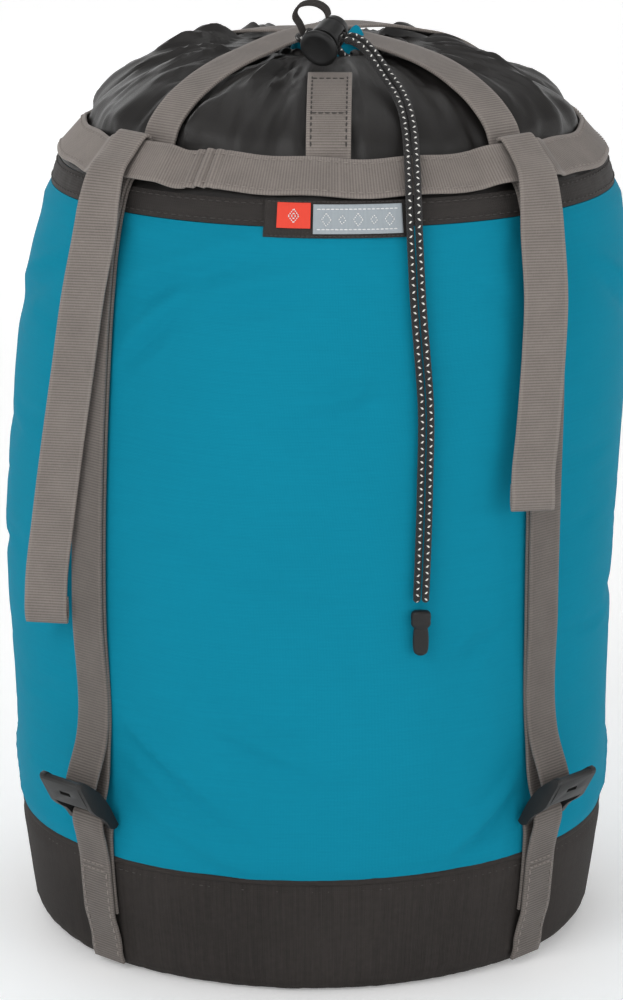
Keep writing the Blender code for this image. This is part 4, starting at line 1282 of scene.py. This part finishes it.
def make_cords():
    tube("drawcord_loop", held_cord_points(), CORD, "cord", "top", braid=0.05, step=0.5)
    end = make_cord_end()
    for name, side in (("cord_strand_left", -1), ("cord_strand_right", 1)):
        points = strand_points(side)
        piece = tube(name, points, CORD, "cord", "top", braid=0.05, step=0.4)


def make_cord_end():
    """Two-part plastic end: a rounded head that takes both cords, and a flat tongue."""
    profile = [(0.0, 2.4, 1.3, 2.0), (-0.5, 3.0, 1.75, 2.4), (-1.5, 3.35, 1.9, 2.6),
               (-3.4, 3.3, 1.95, 2.6), (-5.0, 3.2, 1.9, 2.6), (-5.7, 2.7, 1.5, 2.6),
               (-6.1, 2.35, 1.2, 2.6), (-6.8, 2.45, 1.25, 2.8), (-9.0, 2.65, 1.3, 3.0),
               (-12.0, 2.65, 1.3, 3.0), (-13.8, 2.45, 1.2, 2.8), (-15.0, 1.9, 0.95, 2.4),
               (-15.6, 1.0, 0.5, 2.0)]
    rows = smooth_route([(0.0, 0.0, *row) for row in profile], 0.3)
    a = np.radians(np.arange(0.0, 360.0, 9.0))
    grid = []
    for _, _, z, wide, deep, power in rows:
        cos, sin = np.cos(a), np.sin(a)
        ring = np.stack([wide * np.sign(cos) * np.abs(cos) ** (2 / power),
                         deep * np.sign(sin) * np.abs(sin) ** (2 / power),
                         np.full_like(a, z)], -1)
        grid.append(ring + np.array(CORD_END_TOP))
    grid = np.array(grid)
    return grid_piece("cord_end", grid, np.arange(len(a) + 1) * 0.5,
                      np.arange(len(grid)) * 0.3, "plastic", "cord_end", caps=True, smooth=60.0)


# --- floor and light --------------------------------------------------------------------
def make_floor():
    """A pale floor that curves up into a pale wall far away all round, as a bowl."""
    mesh = bpy.data.meshes.new("floor")
    far, high, bend, turns = 7.0, 3.0, 1.5, 96
    profile = [(0.5, 0.0), (1.5, 0.0), (3.5, 0.0), (far - bend, 0.0)]
    profile += [(far - bend + bend * math.sin(t), bend - bend * math.cos(t))
                for t in np.linspace(0.1, math.pi / 2, 14)]
    profile.append((far, high))
    around = [math.radians(360.0 * i / turns) for i in range(turns)]
    vertices = [(r * math.cos(t), r * math.sin(t), z) for r, z in profile for t in around]
    faces = [tuple(range(turns))]
    faces += [(turns * i + j, turns * (i + 1) + j, turns * (i + 1) + (j + 1) % turns,
               turns * i + (j + 1) % turns) for i in range(len(profile) - 1) for j in range(turns)]
    mesh.from_pydata(vertices, [], faces)
    mesh.shade_smooth()
    pale = Shader("pale_floor", 0.9, **{"Base Color": (0.95, 0.95, 0.95, 1.0),
                                        "Emission Color": (1.0, 1.0, 1.0, 1.0)})
    reach = pale.node("ShaderNodeVectorMath", {0: pale.place}, operation="LENGTH")
    glow = pale.node("ShaderNodeMapRange", {"Value": reach.outputs["Value"], "From Min": 0.9,
                                            "From Max": 3.0, "To Min": 0.2, "To Max": 0.5})
    pale.join(pale.shader, {"Emission Strength": glow.outputs[0]})
    mesh.materials.append(pale.material)
    linked("floor", mesh)


def area_light(name, place_at, target, size, watts):
    light = bpy.data.lights.new(name, "AREA")
    light.shape, light.size, light.energy = "DISK", size, watts
    lamp = linked(name, light)
    lamp.location = place_at
    lamp.rotation_euler = (Vector(target) - Vector(place_at)).to_track_quat("-Z", "Y").to_euler()


def make_light():
    world = bpy.data.worlds.new("studio")
    bpy.context.scene.world = world
    world.use_nodes = True
    sky = world.node_tree.nodes["Background"]
    sky.inputs["Color"].default_value = (1.0, 1.0, 1.0, 1.0)
    sky.inputs["Strength"].default_value = 0.34
    middle = (0.0, 0.0, 0.17)
    area_light("key", (-1.1, -1.6, 1.5), middle, 1.4, 16.5)
    area_light("fill", (1.5, -1.4, 0.9), middle, 1.6, 7.0)
    area_light("top", (0.1, 0.2, 2.0), middle, 1.4, 6.6)
    area_light("back", (-0.6, 1.8, 1.2), middle, 1.4, 5.0)
    view = bpy.context.scene.view_settings
    view.view_transform, view.look = "Standard", "None"


def make_body():
    fabric_panel("bottom_band", "band", "base", 0.0, BAND_TOP - 0.1, 2.3, 288, 0.012, 2.0,
                 (0.7, 0.9), seed=1.0)
    wall = fabric_panel("body_panel", "teal", None, BAND_TOP + 0.1, WALL_TOP - 0.1, 2.6, 288,
                        0.012, 2.0, (1.0, 1.6), wall_lift, seed=2.0)
    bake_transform(wall)
    fabric_panel("hem_tape", "tape", "top", WALL_TOP + 0.1, HEM_TOP - 0.1, 1.1, 288, 0.01, 1.0,
                 (0.25, 0.25), seed=3.0)
    fabric_panel("collar", "black", "top", HEM_TOP + 0.1, MOUTH_TOP, 1.6, 320, 0.03, 2.0,
                 (1.2, 1.6), collar_lift, seed=4.0)
    rolled_seam("band_seam", BAND_TOP, 0.05, 0.75, "band", "base")
    for height in (WALL_TOP + 1.6, HEM_TOP - 1.4):
        stitches(f"hem_stitches_{round(height)}", seam_row(height, 0.15), "top", "dark_thread_and_shade",
                 0.26)
    stitches("band_stitches", seam_row(BAND_TOP - 3.2, 0.1), "base", "dark_thread_and_shade", 0.26)


MATERIALS = make_materials()
make_camera()
make_cords()
make_light()
make_floor()
make_base()
make_body()
make_ring()
make_straps()
make_cross_straps()
make_front_tab()
make_label()
make_casing()
make_dust_flap()
make_cord_lock()
make_grab_loop()
